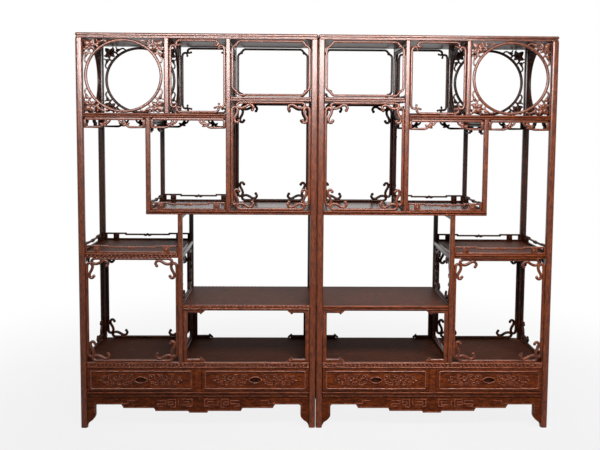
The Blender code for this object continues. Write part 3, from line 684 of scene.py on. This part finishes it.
def scroll_frame(size):
    return bent_frame(size, RAIL_SCROLL, SIDE_SCROLL, SCROLL_BAR, BULB)


def stepped_frame(size):
    """One bar all the way round an opening, indented at each corner."""
    half = smooth(INDENT)
    corner = half + [Vector((place.y, place.x)) for place in half[-2::-1]]
    route = []
    for right, top in ((False, False), (True, False), (True, True), (False, True)):
        places = from_corner(corner, size, right, top)
        route += places if right != top else places[::-1]
    shape = rod(route, BAR, BAR_DEPTH, closed=True)
    for right in (False, True):
        for top in (False, True):
            place = from_corner([STEP_AT], size, right, top)[0]
            join(shape, bead(place, STEP_BULB, STEP_BULB, BAR_DEPTH))
    return shape


print("three patterns of bent bars ready")

# %% [markdown]
# ## Frets in the openings
# The same fret stands at the front of an opening and again at its back, where its wood is painted darker
# as painted shade. Frets also run along the depth, in the sides and on the dividers, in the same darkened
# wood. All of them could be drawn in place, but a pattern that is a function of the opening's size serves
# every place: it is moved or turned there.

# %% Setting the frets
def set_fret(node, pattern):
    """Fretwork at the front of an opening, and the same again at its back."""
    low, high = span(node)
    middle = (low.y + high.y) / 2
    shape = pattern(Vector((high.x - low.x, high.z - low.z)))
    back = moved(shape.copy(), low.x, DEPTH - middle, low.z)
    set_piece(node, moved(shape, low.x, middle, low.z), FRET, nodes=[node])
    # The copy at the back is painted darker as painted shade.
    set_piece(f"{node}_back", back, SHADE_BACK_FRET)


def set_side_fret(name, pattern, across, front, bottom, top):
    """Fretwork that runs along the depth, as far from the back as from the front."""
    shape = pattern(Vector((DEPTH - 2 * front, top - bottom)))
    # Frets along the depth are painted darker as painted shade.
    set_piece(name, moved(turned(shape, 1, across, front), up=bottom), SHADE_BACK_FRET)


for node, pattern in (("hooked_fret", hooked_frame), ("stepped_fret", stepped_frame),
                      ("scroll_fret", scroll_frame), ("lower_scroll_fret", scroll_frame)):
    set_fret(node, pattern)

# %% [markdown]
# ## Leaves and sprays
# The ring in the outer top opening has a spray carved in each of its corners: a lobed leaf, looped stems,
# two small leaves and a bead at the heart. Sculpting could carve it, but four corners and their mirror
# images have to be alike. So a lobe is an egg-shaped disc, thickened and crowned by an inset, a stem is
# a rod, and one list of points serves every corner.

# %% Leaves and sprays
LEAF_DEPTH = 0.0125
STEM_DEPTH = LEAF_DEPTH * 0.8
LEAF_BODY = 0.5
LEAF_TAPER = 0.40
CROWN_INSET = 0.42
CROWN_RISE = 0.25
HEART_BEAD = (0.013, 0.013, LEAF_DEPTH * 1.2)
STEMS = [([(0.0330, 0.0580), (0.0220, 0.0700), (0.0120, 0.0830), (0.0085, 0.0960),
           (0.0155, 0.1080)], 0.0080),
         ([(0.0300, 0.0300), (0.0240, 0.0460), (0.0290, 0.0600), (0.0400, 0.0710)], 0.0090),
         ([(0.0250, 0.0480), (0.0130, 0.0500), (0.0020, 0.0440)], 0.0070),
         ([(0.0250, 0.0640), (0.0130, 0.0660), (0.0020, 0.0600)], 0.0070)]
HEART = (0.0300, 0.0300)
LOBES = [((0.0080, 0.0080), 0.0240), ((0.0490, 0.0065), 0.0180), ((0.0065, 0.0490), 0.0180),
         ((0.0540, 0.0500), 0.0200), ((0.0580, 0.0280), 0.0150), ((0.0280, 0.0580), 0.0150)]
SMALL_LEAVES = [(0.0600, 0.0200, 0.0860, 0.0120, 0.0135), (0.0200, 0.0600, 0.0120, 0.0860, 0.0135)]


def leaf(base, tip, width, thickness=LEAF_DEPTH):
    """An egg-shaped leaf between two (across, up) places, fuller at its base and crowned on both faces."""
    shape = bmesh.new()
    bmesh.ops.create_circle(shape, cap_ends=True, segments=12, radius=1.0)
    for vert in shape.verts:
        vert.co.y *= 1.0 - LEAF_TAPER * vert.co.x
    under = shape.faces[:]
    made = bmesh.ops.extrude_face_region(shape, geom=under)["geom"]
    upper = [part for part in made if isinstance(part, bmesh.types.BMFace)]
    bmesh.ops.translate(shape, vec=(0.0, 0.0, LEAF_BODY), verts=upper[0].verts)
    bmesh.ops.recalc_face_normals(shape, faces=shape.faces)
    flat = [face for face in shape.faces if len(face.verts) > 4]
    bmesh.ops.inset_individual(shape, faces=flat, thickness=CROWN_INSET, depth=CROWN_RISE)
    way = (tip - base) / 2
    side = way.normalized() * width / 2
    middle = (base + tip) / 2
    turn = Matrix(((way.x, -side.y, 0.0), (0.0, 0.0, -thickness), (way.y, side.x, 0.0)))
    centred = turn.to_4x4() @ Matrix.Translation((0.0, 0.0, -LEAF_BODY / 2))
    place = Matrix.Translation((middle.x, 0.0, middle.y)) @ centred
    bmesh.ops.transform(shape, matrix=place, verts=shape.verts)
    return shape


def spray(size, right, top):
    """The carving in one corner of a moon gate: a lobed leaf in the corner and looped stems to the ring."""
    parts = []
    for stem, width in STEMS:
        for points in (stem, [(z, x) for x, z in stem]):
            route = smooth(from_corner(points, size, right, top), 4)
            parts.append(rod(route, width, STEM_DEPTH, sides=8))
    heart = from_corner([HEART], size, right, top)[0]
    for place, width in LOBES:
        parts.append(leaf(heart, from_corner([place], size, right, top)[0], width))
    for x, z, tip_x, tip_z, width in SMALL_LEAVES:
        parts.append(leaf(*from_corner([(x, z), (tip_x, tip_z)], size, right, top), width))
    return parts + [bead(heart, *HEART_BEAD)]


print("a spray has", len(LOBES), "lobes and", 2 * len(STEMS), "stems")

# %% [markdown]
# ## Moon gates
# The outer top opening is framed by a ring, like the round gate of a garden. A torus could be stretched to
# fit the opening, but its bar would be stretched with it. So the ring is a rod along an oval, closed on
# itself, with a spray in each corner. The same gate stands again in the partition beside the opening
# and in the outer side.

# %% Moon gates
RING_WIDTH = 0.0130
RING_GAP = 0.006
RING_STEPS = 80
FRET_INSET = 0.012


def moon_gate(size):
    """A ring that reaches the rails above and below, with a spray in each corner."""
    centre = size / 2
    across, up = centre.x - RING_GAP - RING_WIDTH / 2, centre.y - RING_WIDTH / 2
    turns = [2 * math.pi * i / RING_STEPS for i in range(RING_STEPS)]
    ring = [centre + Vector((math.cos(turn) * across, math.sin(turn) * up)) for turn in turns]
    shape = rod(ring, RING_WIDTH, BAR_DEPTH, closed=True)
    for right in (False, True):
        for top in (False, True):
            join(shape, *spray(size, right, top))
    return shape


set_fret("moon_gate_fret", moon_gate)
PARTITION = sum(corner.x for corner in span("moon_partition")) / 2
set_side_fret("partition_moon_gate", moon_gate, PARTITION, DIVIDER, UPPER_TOP, UNDER_TOP)
set_side_fret("outer_moon_gate", moon_gate, FRET_INSET, POST, UPPER_TOP, UNDER_TOP)

# %% [markdown]
# ## Hanging frets and brackets
# Under the upper board two openings have a shallow fret like a curtain rail: a bar along the board, a
# short bar below it at each side, and a leafy flourish that climbs from one to the other. The low wide
# opening has only flat strips at its sides with slanted brackets. Both could be cut from a plate, but
# the carver rounded them, so the strips are rounded blocks and the rest are rods and leaves.

# %% Hanging frets and brackets
FLOURISH = [([(0.0030, 0.0435), (0.0660, 0.0435), (0.0760, 0.0410), (0.0850, 0.0340), (0.0930, 0.0240),
              (0.1010, 0.0090)], 0.0110),
            ([(0.0900, 0.0300), (0.1020, 0.0280), (0.1110, 0.0230), (0.1165, 0.0160),
              (0.1190, 0.0080)], 0.0090)]
FLOURISH_LEAVES = [(0.0870, 0.0350, 0.0700, 0.0235, 0.0120), (0.0860, 0.0310, 0.1060, 0.0395, 0.0120),
                   (0.0850, 0.0330, 0.1080, 0.0170, 0.0150)]
STRIP = 0.0126
STRIP_ROUNDING = 0.003


def hanging_fret(size):
    """A bar under a board with a short lower bar and a flourish at each side."""
    shape = block((0.0, -BAR_DEPTH / 2, size.y - STRIP), (size.x, BAR_DEPTH / 2, size.y), STRIP_ROUNDING)
    for right in (False, True):
        side = sorted((size.x, size.x - STRIP) if right else (0.0, STRIP))
        join(shape, block((side[0], -BAR_DEPTH / 2, 0.0), (side[1], BAR_DEPTH / 2, size.y), STRIP_ROUNDING))
        for points, width in FLOURISH:
            places = from_corner(points, size, right, True)
            route = places[:1] + smooth(places[1:])
            join(shape, rod(route, width, BAR_DEPTH, ends=(0.8, 1.0)))
        for x, z, tip_x, tip_z, width in FLOURISH_LEAVES:
            base, tip = from_corner([(x, z), (tip_x, tip_z)], size, right, True)
            join(shape, leaf(base, tip, width))
    return shape


BRACKET = 0.0150
BRACKET_BAR = [(0.012, BRACKET / 2), (0.084, BRACKET / 2)]
BRACKET_TOOTH = [(0.0770, 0.0190), (0.0955, 0.0030)]
TOOTH = 0.0095
SIDE_STRIP = 0.018
TOP_STRIP = 0.004


def bracket_frame(size):
    """Flat strips at the sides of an opening with slant-ended brackets above and below."""
    half = BAR_DEPTH / 2
    shape = block((0.0, -half, size.y - TOP_STRIP), (size.x, half, size.y), TOP_STRIP / 4)
    for right in (False, True):
        side = sorted((size.x, size.x - SIDE_STRIP) if right else (0.0, SIDE_STRIP))
        join(shape, block((side[0], -half, 0.0), (side[1], half, size.y), STRIP_ROUNDING))
        for top in (False, True):
            for line, width in ((BRACKET_BAR, BRACKET), (BRACKET_TOOTH, TOOTH)):
                route = from_corner(line, size, right, top)
                join(shape, rod(route, width, BAR_DEPTH, ends=(1.0,), square=9.0))
    return shape


set_fret("outer_hanging_fret", hanging_fret)
set_fret("inner_hanging_fret", hanging_fret)
set_fret("bracket_fret", bracket_frame)

# %% [markdown]
# ## Fretwork along the depth
# Through the openings one sees more frets: in the outer side and on the dividers, below their rails. They
# could be copies of the front ones, but these openings are as wide as the shelf is deep. So the same
# patterns are drawn again for that size and turned a quarter turn.

# %% Fretwork along the depth
LONG_AT, SHORT_AT, LOWER_AT = (sum(corner.x for corner in span(f"{name}_divider")) / 2
                               for name in ("long", "short", "lower"))
UNDER_UPPER = span("upper_board")[0].z
UNDER_SIDE = span("side_board")[0].z
HANGING_FRET = span("inner_hanging_fret")[1].z - span("inner_hanging_fret")[0].z
set_side_fret("outer_side_hanging_fret", hanging_fret, FRET_INSET, POST,
              UNDER_UPPER - HANGING_FRET, UNDER_UPPER)
set_side_fret("outer_side_scroll_fret", scroll_frame, FRET_INSET, POST, ON_DECK, UNDER_SIDE)
set_side_fret("long_divider_stepped_fret", stepped_frame, LONG_AT, DIVIDER,
              SHORT_TOP, UNDER_TOP - RAIL_HEIGHT)
set_side_fret("long_divider_scroll_fret", scroll_frame, LONG_AT, DIVIDER,
              HANGING_TOP, UPPER_TOP - RAIL_HEIGHT)
under_rail = span("short_divider")[1].z - RAIL_HEIGHT
set_side_fret("short_divider_hanging_fret", hanging_fret, SHORT_AT, DIVIDER,
              under_rail - HANGING_FRET, under_rail)
set_side_fret("lower_divider_scroll_fret", scroll_frame, LOWER_AT, DIVIDER,
              MIDDLE_TOP, SIDE_TOP - RAIL_HEIGHT)

# %% [markdown]
# ## Galleries
# A low railing stands on the front, back and outer edges of the side board and of the hanging board. Its
# ends are a little higher than its middle, a small block stands in each end and a carved knot marks
# the centre. One long sweep could follow the steps, but they are square joints of short bars. So
# the bars are thin rounded blocks, and the knot is two curled rods about a bead.

# %% Galleries
GALLERY_BAR = 0.008
GALLERY_STEP = 0.005
GALLERY_ROUNDING = 0.0028
END_BLOCK = 0.028
END_BLOCK_GAP = 0.004
CURL = [(0.026, 0.001), (0.018, -0.003), (0.009, -0.006), (0.002, -0.002), (0.008, 0.002)]
CURL_BAR = (0.0060, BAR_DEPTH * 1.15)
END_BEAD = (0.020, 0.013, BAR_DEPTH * 1.5)
KNOT_BEAD = (0.012, 0.013, BAR_DEPTH * 1.25)
KNOT_RISE = 0.001


def gallery(length):
    """A railing along a board's edge, from its left end and the board's top."""
    half = BAR_DEPTH / 2
    end = length / 4
    bars = [(0.0, length, -LAP, GALLERY_BAR)]
    bars.append((end - GALLERY_BAR, length - end + GALLERY_BAR, GALLERY - GALLERY_STEP - GALLERY_BAR,
                 GALLERY - GALLERY_STEP))
    for left, right in ((0.0, end), (length - end, length)):
        bars.append((left, right, GALLERY - GALLERY_BAR, GALLERY))
        middle = (left + right) / 2
        bars.append((middle - END_BLOCK / 2, middle + END_BLOCK / 2, END_BLOCK_GAP,
                     GALLERY - END_BLOCK_GAP))
    for left in (0.0, length - GALLERY_BAR):
        bars.append((left, left + GALLERY_BAR, 0.0, GALLERY))
    shape = bmesh.new()
    for left, right, low, high in bars:
        join(shape, block((left, -half, low), (right, half, high), GALLERY_ROUNDING))
    for middle in (end / 2, length - end / 2):
        join(shape, bead((middle, GALLERY / 2), *END_BEAD))
    crown = length / 2
    low = GALLERY - GALLERY_STEP - GALLERY_BAR / 2
    for way in (-1, 1):
        curl = [(crown + way * x, low + z) for x, z in CURL]
        join(shape, rod(smooth(curl, 4), *CURL_BAR))
    return join(shape, bead((crown, low + KNOT_RISE), *KNOT_BEAD))


def set_gallery(node, start, end, floor, side_gap, side_at):
    """A railing along a board's front, and another along its back and one side."""
    front = gallery(end - start)
    far = moved(front.copy(), start, DEPTH - FRET_INSET, floor)
    join(far, moved(turned(gallery(DEPTH - 2 * side_gap), 1, side_at, side_gap), up=floor))
    set_piece(f"{node}_gallery", moved(front, start, FRET_INSET, floor), FRET)
    # The back and side railing is painted darker as painted shade.
    set_piece(f"{node}_back_gallery", far, SHADE_BACK_FRET)


set_gallery("side_board", POST, LOWER_AT - DIVIDER / 2, SIDE_TOP, POST, FRET_INSET)
set_gallery("hanging_board", SHORT_AT + DIVIDER / 2, LONG_AT - DIVIDER / 2, HANGING_TOP, DIVIDER,
            SHORT_AT)

# %% [markdown]
# ## Drawer fronts
# A drawer front is a flat board with shallow carving: a bead border, angular scrolls with short dashes
# between them, and a pointed oval round the finger pull. A bump in the material could draw it, but it
# would be flat from the side. The CAD piece has the board's outline and the hollow of the pull, so it
# stays, and the carving is added as rods and beads sunk halfway into its face, in a paler wood that is
# partly rubbed wear and partly painted highlight. A thin disc of darker board wood lies in the hollow as
# painted shade, standing for the dark of a deeper recess.

# %% Drawer carving
KEY_SCROLLS = [[(0.038, 0.010), (0.038, 0.024), (0.062, 0.024), (0.062, 0.008), (0.050, 0.008)],
               [(0.040, -0.008), (0.058, -0.008), (0.058, -0.023), (0.078, -0.023), (0.078, -0.001),
                (0.068, -0.001)],
               [(0.072, 0.024), (0.099, 0.024), (0.099, 0.010), (0.084, 0.010)],
               [(0.088, -0.009), (0.108, -0.009), (0.108, -0.023), (0.090, -0.023)],
               [(0.090, 0.001), (0.121, 0.001), (0.121, 0.018), (0.109, 0.018)],
               [(0.118, -0.023), (0.135, -0.023), (0.135, -0.009), (0.122, -0.009)],
               [(0.130, 0.024), (0.148, 0.024), (0.148, 0.006), (0.133, 0.006)],
               [(0.145, -0.020), (0.160, -0.020), (0.160, -0.006), (0.148, -0.006)],
               [(0.158, 0.018), (0.180, 0.018), (0.180, 0.003), (0.166, 0.003)]]
DASHES = [(0.041, 0.001, 0.010), (0.048, -0.016, 0.012), (0.049, 0.016, 0.010), (0.068, -0.012, 0.009),
          (0.066, 0.005, 0.008), (0.083, 0.003, 0.008), (0.086, 0.017, 0.012), (0.098, -0.016, 0.009),
          (0.104, 0.009, 0.014), (0.114, -0.002, 0.014), (0.126, -0.016, 0.008), (0.127, 0.008, 0.007),
          (0.140, 0.015, 0.008), (0.139, -0.002, 0.011), (0.152, -0.013, 0.008), (0.171, 0.010, 0.009),
          (0.171, -0.010, 0.015), (0.186, -0.001, 0.013)]
DASH_HEIGHT = 0.0048
DASH_DEPTH = 0.0076
BORDER_INSET = Vector((0.017, 0.0135))
BORDER_CORNER = 0.006
BORDER_BAR = (0.0060, 0.0080)
KEY_CORNER = 0.003
KEY_BAR = (0.0044, 0.0070)
EYE = (0.0300, 0.0145)
EYE_BAR = (0.0040, 0.0070)
SHADE_DISC = (0.056, 0.026, 0.0010)
SHADE_DISC_DEPTH = 0.0075


def eye(centre, across, up, count=28):
    """A pointed oval about a place."""
    route = []
    for i in range(count):
        turn = 2 * math.pi * i / count
        swell = math.sin(turn) * abs(math.sin(turn)) ** 0.5
        route.append(centre + Vector((math.cos(turn) * across, swell * up)))
    return route


for drawer in ("outer", "inner"):
    low, high = span(f"{drawer}_drawer_front")
    centre = Vector(((low.x + high.x) / 2, (low.z + high.z) / 2))
    reach = Vector((high.x - low.x, high.z - low.z)) / 2 - BORDER_INSET
    corners = [(-1, -1), (1, -1), (1, 1), (-1, 1)]
    border = [centre + Vector((reach.x * x, reach.y * z)) for x, z in corners]
    middle = (border[0] + border[3]) / 2
    shape = rod(rounded([middle] + border + [middle], BORDER_CORNER, 4)[:-1], *BORDER_BAR, closed=True)
    for way in (-1, 1):
        for stroke in KEY_SCROLLS:
            route = rounded([centre + Vector((way * x, z)) for x, z in stroke], KEY_CORNER)
            join(shape, rod(route, *KEY_BAR, sides=8))
        for x, z, size in DASHES:
            join(shape, bead(centre + Vector((way * x, z)), size, DASH_HEIGHT, DASH_DEPTH))
    join(shape, rod(eye(centre, *EYE), *EYE_BAR, closed=True))
    carving = moved(shape, back=low.y)
    # The carving's paler wood is partly rubbed wear and partly painted highlight.
    set_piece(f"{drawer}_drawer_carving", carving, CARVING, body=f"{drawer}_drawer")
    # The disc in the hollow is painted shade.
    hollow = moved(bead(centre, *SHADE_DISC), back=low.y + SHADE_DISC_DEPTH)
    set_piece(f"{drawer}_drawer_hollow", hollow, BOARD, body=f"{drawer}_drawer")

# %% [markdown]
# ## Apron
# Below the drawers hangs an apron with a stepped lower edge and an ear down each leg. A fine bead follows
# its edge and key-shaped scrolls lie above it. They could be cut into the board, but they stand proud of
# it on the real one. So they are rods on the CAD piece, drawn for one half and mirrored for the other.

# %% Apron carving
APRON_STEPS = ((0.75, 0.017), (0.44, 0.031), (0.11, 0.039))
EAR = 0.038
APRON_DROP = 0.038
LINE_INSET = 0.006
LINE_RISE = 0.004
LINE_START = 0.040
LINE_BAR = (0.0040, 0.0050)
LINE_CORNER = 0.003
STEP_START = 0.003
STEP_END = 0.012
APRON_KEY_BAR = (0.0046, 0.0060)
APRON_KEY_CORNER = 0.002


def apron_line(length, top):
    """The bead that follows an apron's stepped lower edge, from one ear to the other."""
    middle = length / 2
    half = middle - EAR
    ear = EAR - LINE_INSET
    level = top - APRON_DROP
    line = [(ear, level - LINE_START), (ear, level + LINE_RISE)]
    drop = 0.0
    for share, next_drop in APRON_STEPS:
        start = middle - half * share
        line.append((start + STEP_START, level - drop + LINE_RISE))
        line.append((start + STEP_END, level - next_drop + LINE_RISE))
        drop = next_drop
    return line + [(length - x, z) for x, z in reversed(line)]


APRON_KEYS = [[(0.158, 0.024), (0.158, 0.034), (0.186, 0.034), (0.186, 0.020), (0.222, 0.020)],
              [(0.318, 0.020), (0.360, 0.020), (0.360, 0.035), (0.320, 0.035), (0.320, 0.046),
               (0.346, 0.046)],
              [(0.370, 0.026), (0.392, 0.026), (0.392, 0.040), (0.370, 0.040), (0.370, 0.013),
               (0.404, 0.013), (0.404, 0.050), (0.380, 0.050)],
              [(0.418, 0.013), (0.418, 0.040), (0.466, 0.040), (0.466, 0.025), (0.438, 0.025)],
              [(0.432, 0.013), (0.480, 0.013), (0.480, 0.046), (0.452, 0.046)]]

low, high = span("front_apron")
length = high.x - low.x
carving = rod(rounded(apron_line(length, high.z), LINE_CORNER), *LINE_BAR, sides=8)
for stroke in APRON_KEYS:
    for mirrored in (False, True):
        points = [(length - x if mirrored else x, high.z - z) for x, z in stroke]
        join(carving, rod(rounded(points, APRON_KEY_CORNER), *APRON_KEY_BAR, sides=8))
# The carving's paler wood is partly rubbed wear and partly painted highlight.
set_piece("front_apron_carving", moved(carving, low.x, low.y), CARVING)

# %% [markdown]
# ## Moulding under the drawers
# Between the drawers and the apron the edge of the drawer floor shows as a roll above a thin bead. The
# moulded edge of the boards could be used, but this one is flatter and stands a little before the posts'
# faces. So it is two rounded blocks of its own.

# %% Moulding under the drawers
MOULDING_DEPTH = 0.006
ROLL = 0.0085
ROLL_PROUD = 0.0030
ROLL_ROUNDING = 0.0035
THIN_BEAD = 0.0040
THIN_BEAD_GAP = 0.0005
THIN_BEAD_PROUD = 0.0020
THIN_BEAD_ROUNDING = 0.0018

floor_high = span("drawer_floor")[1].z
bead_low = span("front_apron")[1].z + THIN_BEAD_GAP
moulding = block((POST, -ROLL_PROUD, floor_high - ROLL), (WIDTH - POST, MOULDING_DEPTH, floor_high),
                 ROLL_ROUNDING, 4)
thin_bead = block((POST, -THIN_BEAD_PROUD, bead_low), (WIDTH - POST, MOULDING_DEPTH, bead_low + THIN_BEAD),
                  THIN_BEAD_ROUNDING, 3)
join(moulding, thin_bead)
set_piece("drawer_floor_moulding", moulding, LOW_RAIL)

# %% [markdown]
# ## CAD pieces that stay
# The apron, the drawer floor, the drawer case and the drawers' fronts and boxes are plain boards on the
# real shelf. They could be built again, but the CAD solids already have their true shape. So they stay
# and only get their wood.

# %% Woods of the CAD pieces that stay
STAYING = {"front_apron": APRON, "drawer_floor": BOARD, "drawer_case": RAIL}
for drawer in ("outer", "inner"):
    STAYING[f"{drawer}_drawer_front"] = DRAWER
    STAYING[f"{drawer}_drawer_box"] = LINING
for node, material in STAYING.items():
    for side in SHELVES:
        mesh = frame["nodes"][f"{side}_{node}"].data
        mesh.materials.clear()
        mesh.materials.append(material)
print(len(STAYING), "CAD pieces in each shelf stay as they are")

# %% [markdown]
# ## Floor
# The pair stands on a plain pale floor that runs out into white. Stronger lamps could whiten the floor,
# but the wood would burn out. So the floor mixes a plain grey, which takes the shadow, with white that
# only the camera and the polish see. Close to the shelves a small share of the grey stays in view, and
# with it a faint shadow.

# %% Floor
FLOOR_REACH = 14.0
FLOOR_GREY = 0.21
GREY_SHARE = 0.15
GREY_NEAR, GREY_FAR = 1.0, 3.0


def shown_white(tree):
    """1 for what the camera sees, straight or in polish or glass, and 0 for light that falls on a piece."""
    path = tree.nodes.new("ShaderNodeLightPath")
    shown = math_node(tree, "ADD", path.outputs["Is Camera Ray"], path.outputs["Is Glossy Ray"])
    shown = math_node(tree, "ADD", shown, path.outputs["Is Transmission Ray"])
    return math_node(tree, "MINIMUM", shown, 1.0)


shape = bmesh.new()
bmesh.ops.create_grid(shape, x_segments=1, y_segments=1, size=FLOOR_REACH)
floor_mesh = bpy.data.meshes.new("floor")
shape.to_mesh(floor_mesh)
shape.free()
floor = bpy.data.objects.new("floor", floor_mesh)
bpy.context.scene.collection.objects.link(floor)
paint = bpy.data.materials.new("floor_paint")
paint.use_nodes = True
tree = paint.node_tree
plain = tree.nodes["Principled BSDF"]
plain.inputs["Base Color"].default_value = (FLOOR_GREY, FLOOR_GREY, FLOOR_GREY, 1.0)
plain.inputs["Roughness"].default_value = 0.9
plain.inputs["Specular IOR Level"].default_value = 0.1
white = tree.nodes.new("ShaderNodeEmission")
white.inputs["Color"].default_value = (1.0, 1.0, 1.0, 1.0)
blend = tree.nodes.new("ShaderNodeMixShader")
places = tree.nodes.new("ShaderNodeTexCoord")
reach = tree.nodes.new("ShaderNodeVectorMath")
reach.operation = "LENGTH"
tree.links.new(places.outputs["Object"], reach.inputs[0])
away = steep(tree, reach.outputs["Value"], GREY_NEAR, GREY_FAR)
away = math_node(tree, "MULTIPLY", away, GREY_SHARE)
away = math_node(tree, "ADD", away, 1.0 - GREY_SHARE)
tree.links.new(math_node(tree, "MULTIPLY", shown_white(tree), away), blend.inputs["Fac"])
tree.links.new(plain.outputs["BSDF"], blend.inputs[1])
tree.links.new(white.outputs["Emission"], blend.inputs[2])
tree.links.new(blend.outputs["Shader"], tree.nodes["Material Output"].inputs["Surface"])
floor_mesh.materials.append(paint)
print("floor laid")

# %% [markdown]
# ## Light
# Polished wood shows its lamps, so every lamp is a soft panel. A wide one stands before the shelves at the
# height of the top row and lights them. The shine on the posts needs more than that, but more light would
# bleach the wood. So a reflector just before it shows only in the polish. The flats of the boards are left
# out of its link, because they would mirror it as a white sheet when seen from behind. A narrow beam from
# the upper right reaches the drawers, and a lamp at the back fills without a mirror image. The room is
# white to the camera and in the polish, and dim as light.

# %% Light
ROOM_LIGHT = 0.20

world = bpy.data.worlds.new("white_room")
bpy.context.scene.world = world
world.use_nodes = True
tree = world.node_tree
sky = tree.nodes["Background"]
sky.inputs["Color"].default_value = (1.0, 1.0, 1.0, 1.0)
tree.links.new(math_node(tree, "MAXIMUM", shown_white(tree), ROOM_LIGHT), sky.inputs["Strength"])


def softbox(name, place, aim, across, up, power, spread=180.0, mirrored=True, fills=True):
    """A rectangular lamp. Mirrored lets it show in polish, and fills lets it light the pieces softly."""
    light = bpy.data.lights.new(name, "AREA")
    light.shape = "RECTANGLE"
    light.size = across
    light.size_y = up
    light.energy = power
    light.spread = math.radians(spread)
    lamp = bpy.data.objects.new(name, light)
    lamp.location = place
    lamp.rotation_euler = (Vector(aim) - Vector(place)).to_track_quat("-Z", "Y").to_euler()
    lamp.visible_camera = False
    lamp.visible_glossy = mirrored
    lamp.visible_diffuse = fills
    bpy.context.scene.collection.objects.link(lamp)
    return lamp


FRONT_AIM = (-0.36, -0.2, 1.62)
FRONT_SIZE = (2.5, 0.36)
softbox("front_softbox", (-0.30, -1.35, 1.83), FRONT_AIM, *FRONT_SIZE, power=34.0, mirrored=False)
reflector = softbox("front_reflector", (-0.30, -1.33, 1.83), FRONT_AIM, *FRONT_SIZE, power=154.0,
                    fills=False)
softbox("top_softbox", (1.5, -2.6, 4.0), (0.55, 0.0, 0.12), 1.8, 1.2, power=14.0, spread=36.0)
softbox("back_softbox", (0.0, 3.0, 0.9), (0.0, 0.0, 0.9), 3.0, 1.4, power=90.0, mirrored=False)
polished = bpy.data.collections.new("polished_pieces")
for piece in bpy.context.scene.objects:
    if piece.type == "MESH" and piece.active_material not in (BOARD, POLISHED, DECK, paint):
        polished.objects.link(piece)
reflector.light_linking.receiver_collection = polished

# %% [markdown]
# ## Camera
# The pair is seen from the front, from a little left of its middle and about 1.4 m up. A camera could be
# aimed by a constraint, but then its small roll would be lost. So its place and its three turns are
# written down, with a lens of normal length and a small shift for the framing.

# %% Camera
CAMERA_AT = (-0.1325, -3.4725, 1.4117)
PAN = -0.0175
TILT = math.pi / 2 - 0.0747
ROLL_TURN = 0.0067

lens = bpy.data.cameras.new("camera")
lens.sensor_width = 36.0
lens.lens = 43.72
lens.shift_x = -0.0012
lens.shift_y = -0.0813
camera = bpy.data.objects.new("camera", lens)
turn = Matrix.Rotation(PAN, 4, "Z") @ Matrix.Rotation(TILT, 4, "X") @ Matrix.Rotation(ROLL_TURN, 4, "Z")
camera.matrix_world = Matrix.Translation(CAMERA_AT) @ turn
bpy.context.scene.collection.objects.link(camera)
bpy.context.scene.camera = camera
bpy.context.scene.view_settings.view_transform = "Standard"
print("camera set")
